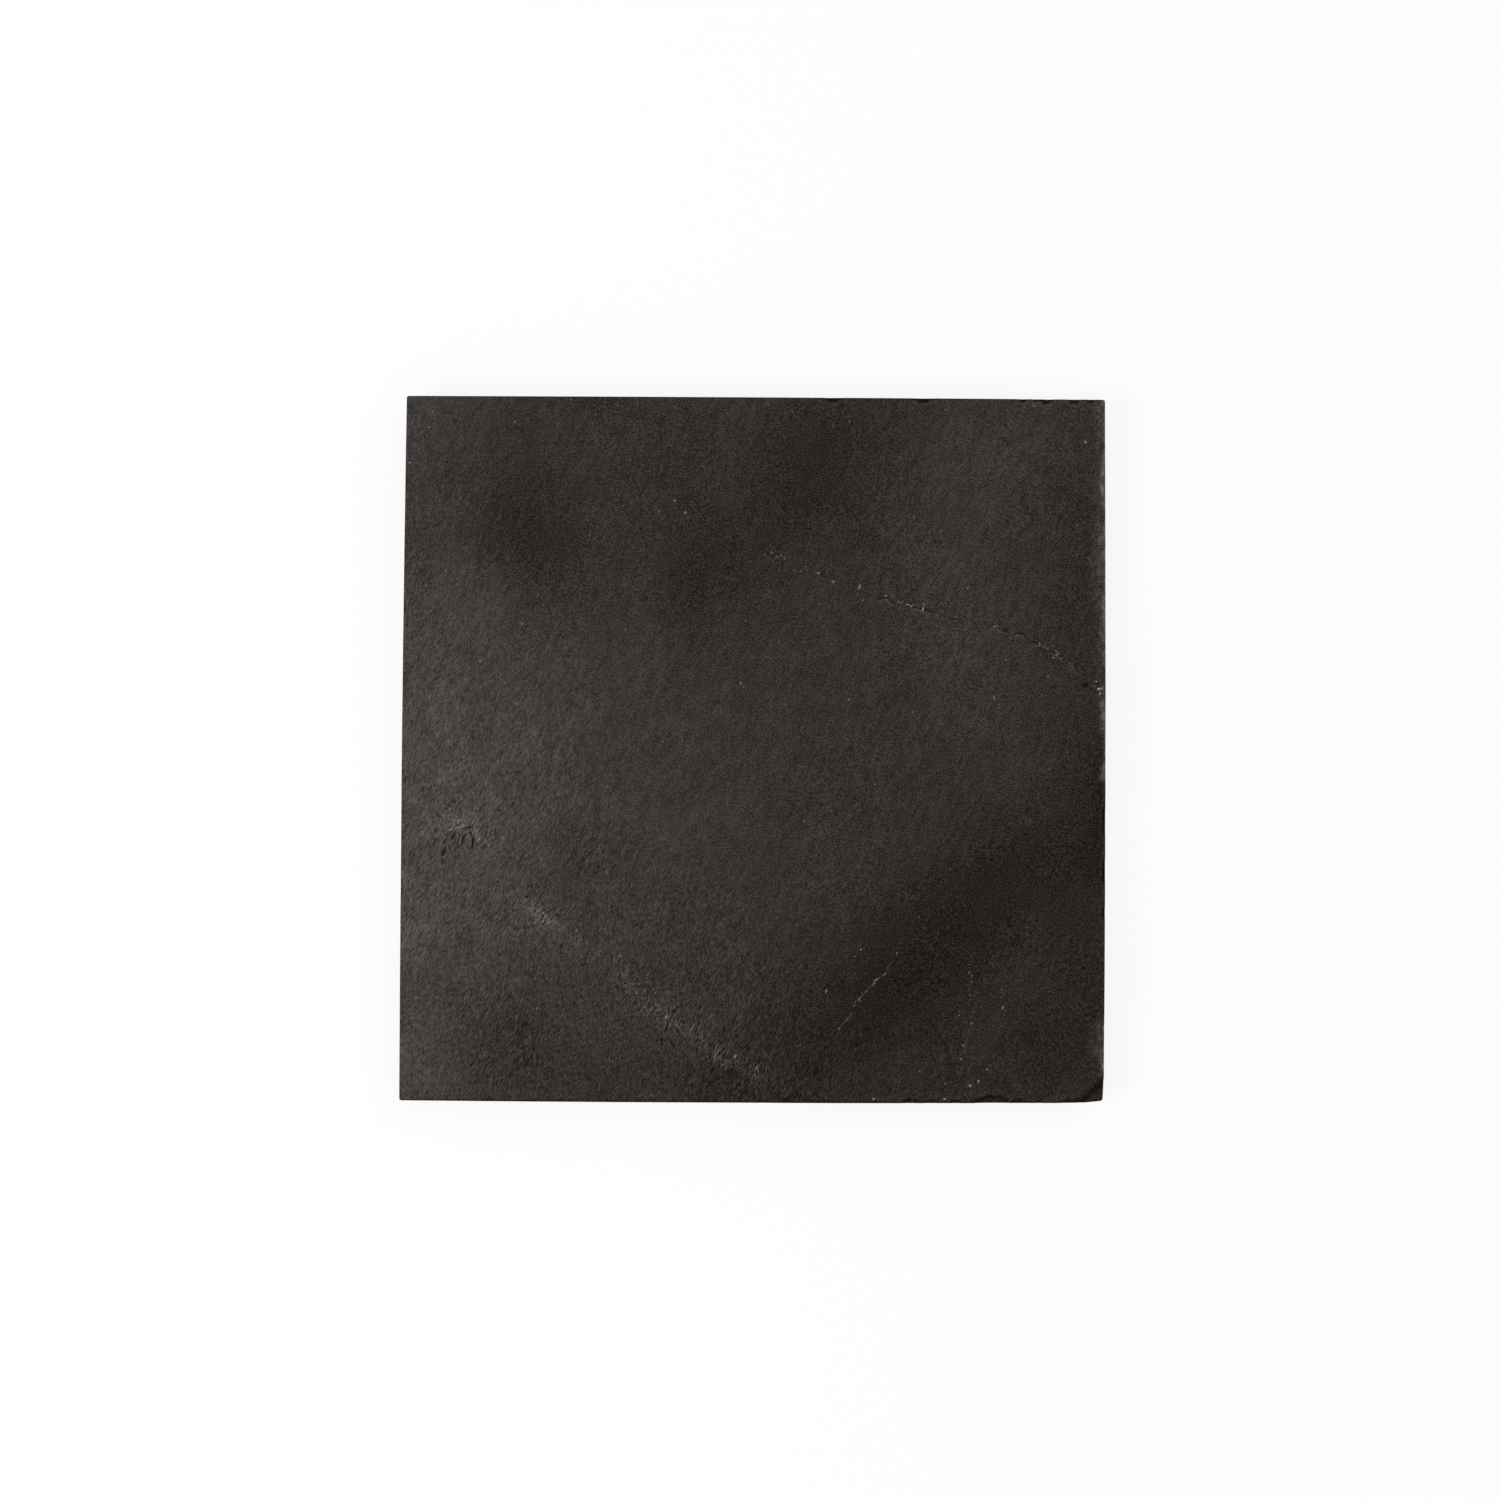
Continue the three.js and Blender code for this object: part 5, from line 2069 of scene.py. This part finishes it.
@dataclass(frozen=True)
class Studio:
    """The plain pale floor, the soft light and the camera that looks straight down, as in the photograph.

    Attributes:
        picture: Side of the photograph, in pixels.
        scale: Pixels of the photograph to a millimetre of the slab's face.
        slab_at: Middle of the slab in the photograph, in pixels from its top left corner.
        lens: Focal length.
        sensor: Width of the sensor.
        far_clip: How far the camera sees, in metres.
        sky_level: Share of plain light that comes evenly from all round.
        lamps: The soft lamps that give the rest.
        floor_reach: Half the floor's side.
        floor_share: Share of the floor's white that is lit, and so darkens in shadow.
        floor_bounce: Colour of the floor as other things are lit by it.
    """

    picture: float = 1500.0
    scale: float = 3.523
    slab_at: Point = (752.1, 749.4)
    lens: float = 85.0
    sensor: float = 36.0
    far_clip: float = 100.0
    sky_level: float = 0.6
    lamps: tuple[Softbox, ...] = (
        Softbox("key_softbox", (-900.0, -250.0, 850.0), 700.0, 0.3),
        Softbox("fill_softbox", (700.0, 800.0, 1100.0), 900.0, 0.1),
    )
    floor_reach: float = 10000.0
    floor_share: float = 0.15
    floor_bounce: str = "#dcdad6"

    def place_camera(self, top: float) -> None:
        """Hangs the camera over the slab, so that the slab fills the frame as in the photograph.

        Args:
            top: Height of the slab's upper face.
        """
        camera = bpy.data.cameras.new("photo_camera")
        camera.lens, camera.sensor_width = self.lens, self.sensor
        camera.clip_end = self.far_clip
        frame_width = self.picture / self.scale
        holder = bpy.data.objects.new("photo_camera", camera)
        holder.location = Vector(
            (
                (self.picture / 2.0 - self.slab_at[0]) / self.scale,
                (self.slab_at[1] - self.picture / 2.0) / self.scale,
                top + frame_width * self.lens / self.sensor,
            )
        ) * MM
        bpy.context.scene.collection.objects.link(holder)
        bpy.context.scene.camera = holder

    def seen(self, tree: Tree) -> Socket:
        """Adds 1 for rays from the camera, a reflection or glass, and 0 for rays that light things.

        Args:
            tree: The node tree.

        Returns:
            The 1 or 0.
        """
        kinds = ("Is Camera Ray", "Is Glossy Ray", "Is Transmission Ray")
        camera, glossy, through = (add_node(tree, "LightPath", out=kind) for kind in kinds)
        either = add_node(tree, "Math", {0: camera, 1: glossy}, operation="MAXIMUM")
        return add_node(tree, "Math", {0: either, 1: through}, operation="MAXIMUM")

    def light_sky(self) -> None:
        """Lights the world evenly. It shows white, and lights things at its own level."""
        world = bpy.data.worlds.new("studio_sky")
        world.use_nodes = True
        tree = world.node_tree
        tree.nodes.clear()
        strength = add_node(
            tree, "MapRange", {"Value": self.seen(tree), "To Min": self.sky_level, "To Max": 1.0}
        )
        sky = add_node(tree, "Background", {"Color": rgba("#ffffff"), "Strength": strength})
        add_node(tree, "OutputWorld", {"Surface": sky})
        bpy.context.scene.world = world

    def lay_floor(self) -> None:
        """Lays the floor: white where it is lit, with the object's shadow in its lit share."""
        material, tree = new_material("studio_paper")
        share = self.floor_share
        lit = add_node(tree, "BsdfDiffuse", {"Color": (share, share, share, 1.0)})
        glow = add_node(tree, "Emission", {"Color": rgba("#ffffff"), "Strength": 1.0 - share})
        shown = add_node(tree, "AddShader", {0: lit, 1: glow})
        bounce = add_node(tree, "BsdfDiffuse", {"Color": rgba(self.floor_bounce)})
        paper = add_node(tree, "MixShader", {0: self.seen(tree), 1: bounce, 2: shown})
        add_node(tree, "OutputMaterial", {"Surface": paper})
        reach = self.floor_reach
        corners = ((-reach, -reach), (reach, -reach), (reach, reach), (-reach, reach))
        square = Skin(
            np.array([(x, y, 0.0) for x, y in corners]), np.array([[0, 1, 2, 3]]), np.zeros((0, 3), int)
        )
        square.to_object("studio_floor", material)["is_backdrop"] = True

    def build(self, top: float) -> None:
        """Sets up the camera, the lamps, the world and the floor.

        Args:
            top: Height of the slab's face.
        """
        self.place_camera(top)
        for lamp in self.lamps:
            lamp.build(Vector((0.0, 0.0, top * MM)))
        self.light_sky()
        self.lay_floor()
        bpy.context.scene.view_settings.view_transform = "Standard"


def main() -> None:
    """Builds the slab, the feet and their tape, and then the studio round them."""
    logging.basicConfig(level=logging.INFO, format="%(name)s: %(message)s")
    slab = SlateSlab().build(RivenSlate())
    rubber, tape = MouldedRubber().material(), FoamTape().material()
    for corner in Corner:
        RubberFoot(corner).build(rubber)
        TapeDisc(corner).build(tape)
    Studio().build(max(point[2] for point in slab.bound_box) / MM)


def write_sizes() -> None:
    """Gathers the box of the solids and the box of the dressed part into a table that is then dropped."""
    boxes = {"cad": CAD_BOX, "visual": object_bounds()}
    {name: [list(point) for point in box] for name, box in boxes.items()}


if __name__ == "__main__":
    main()
    write_sizes()
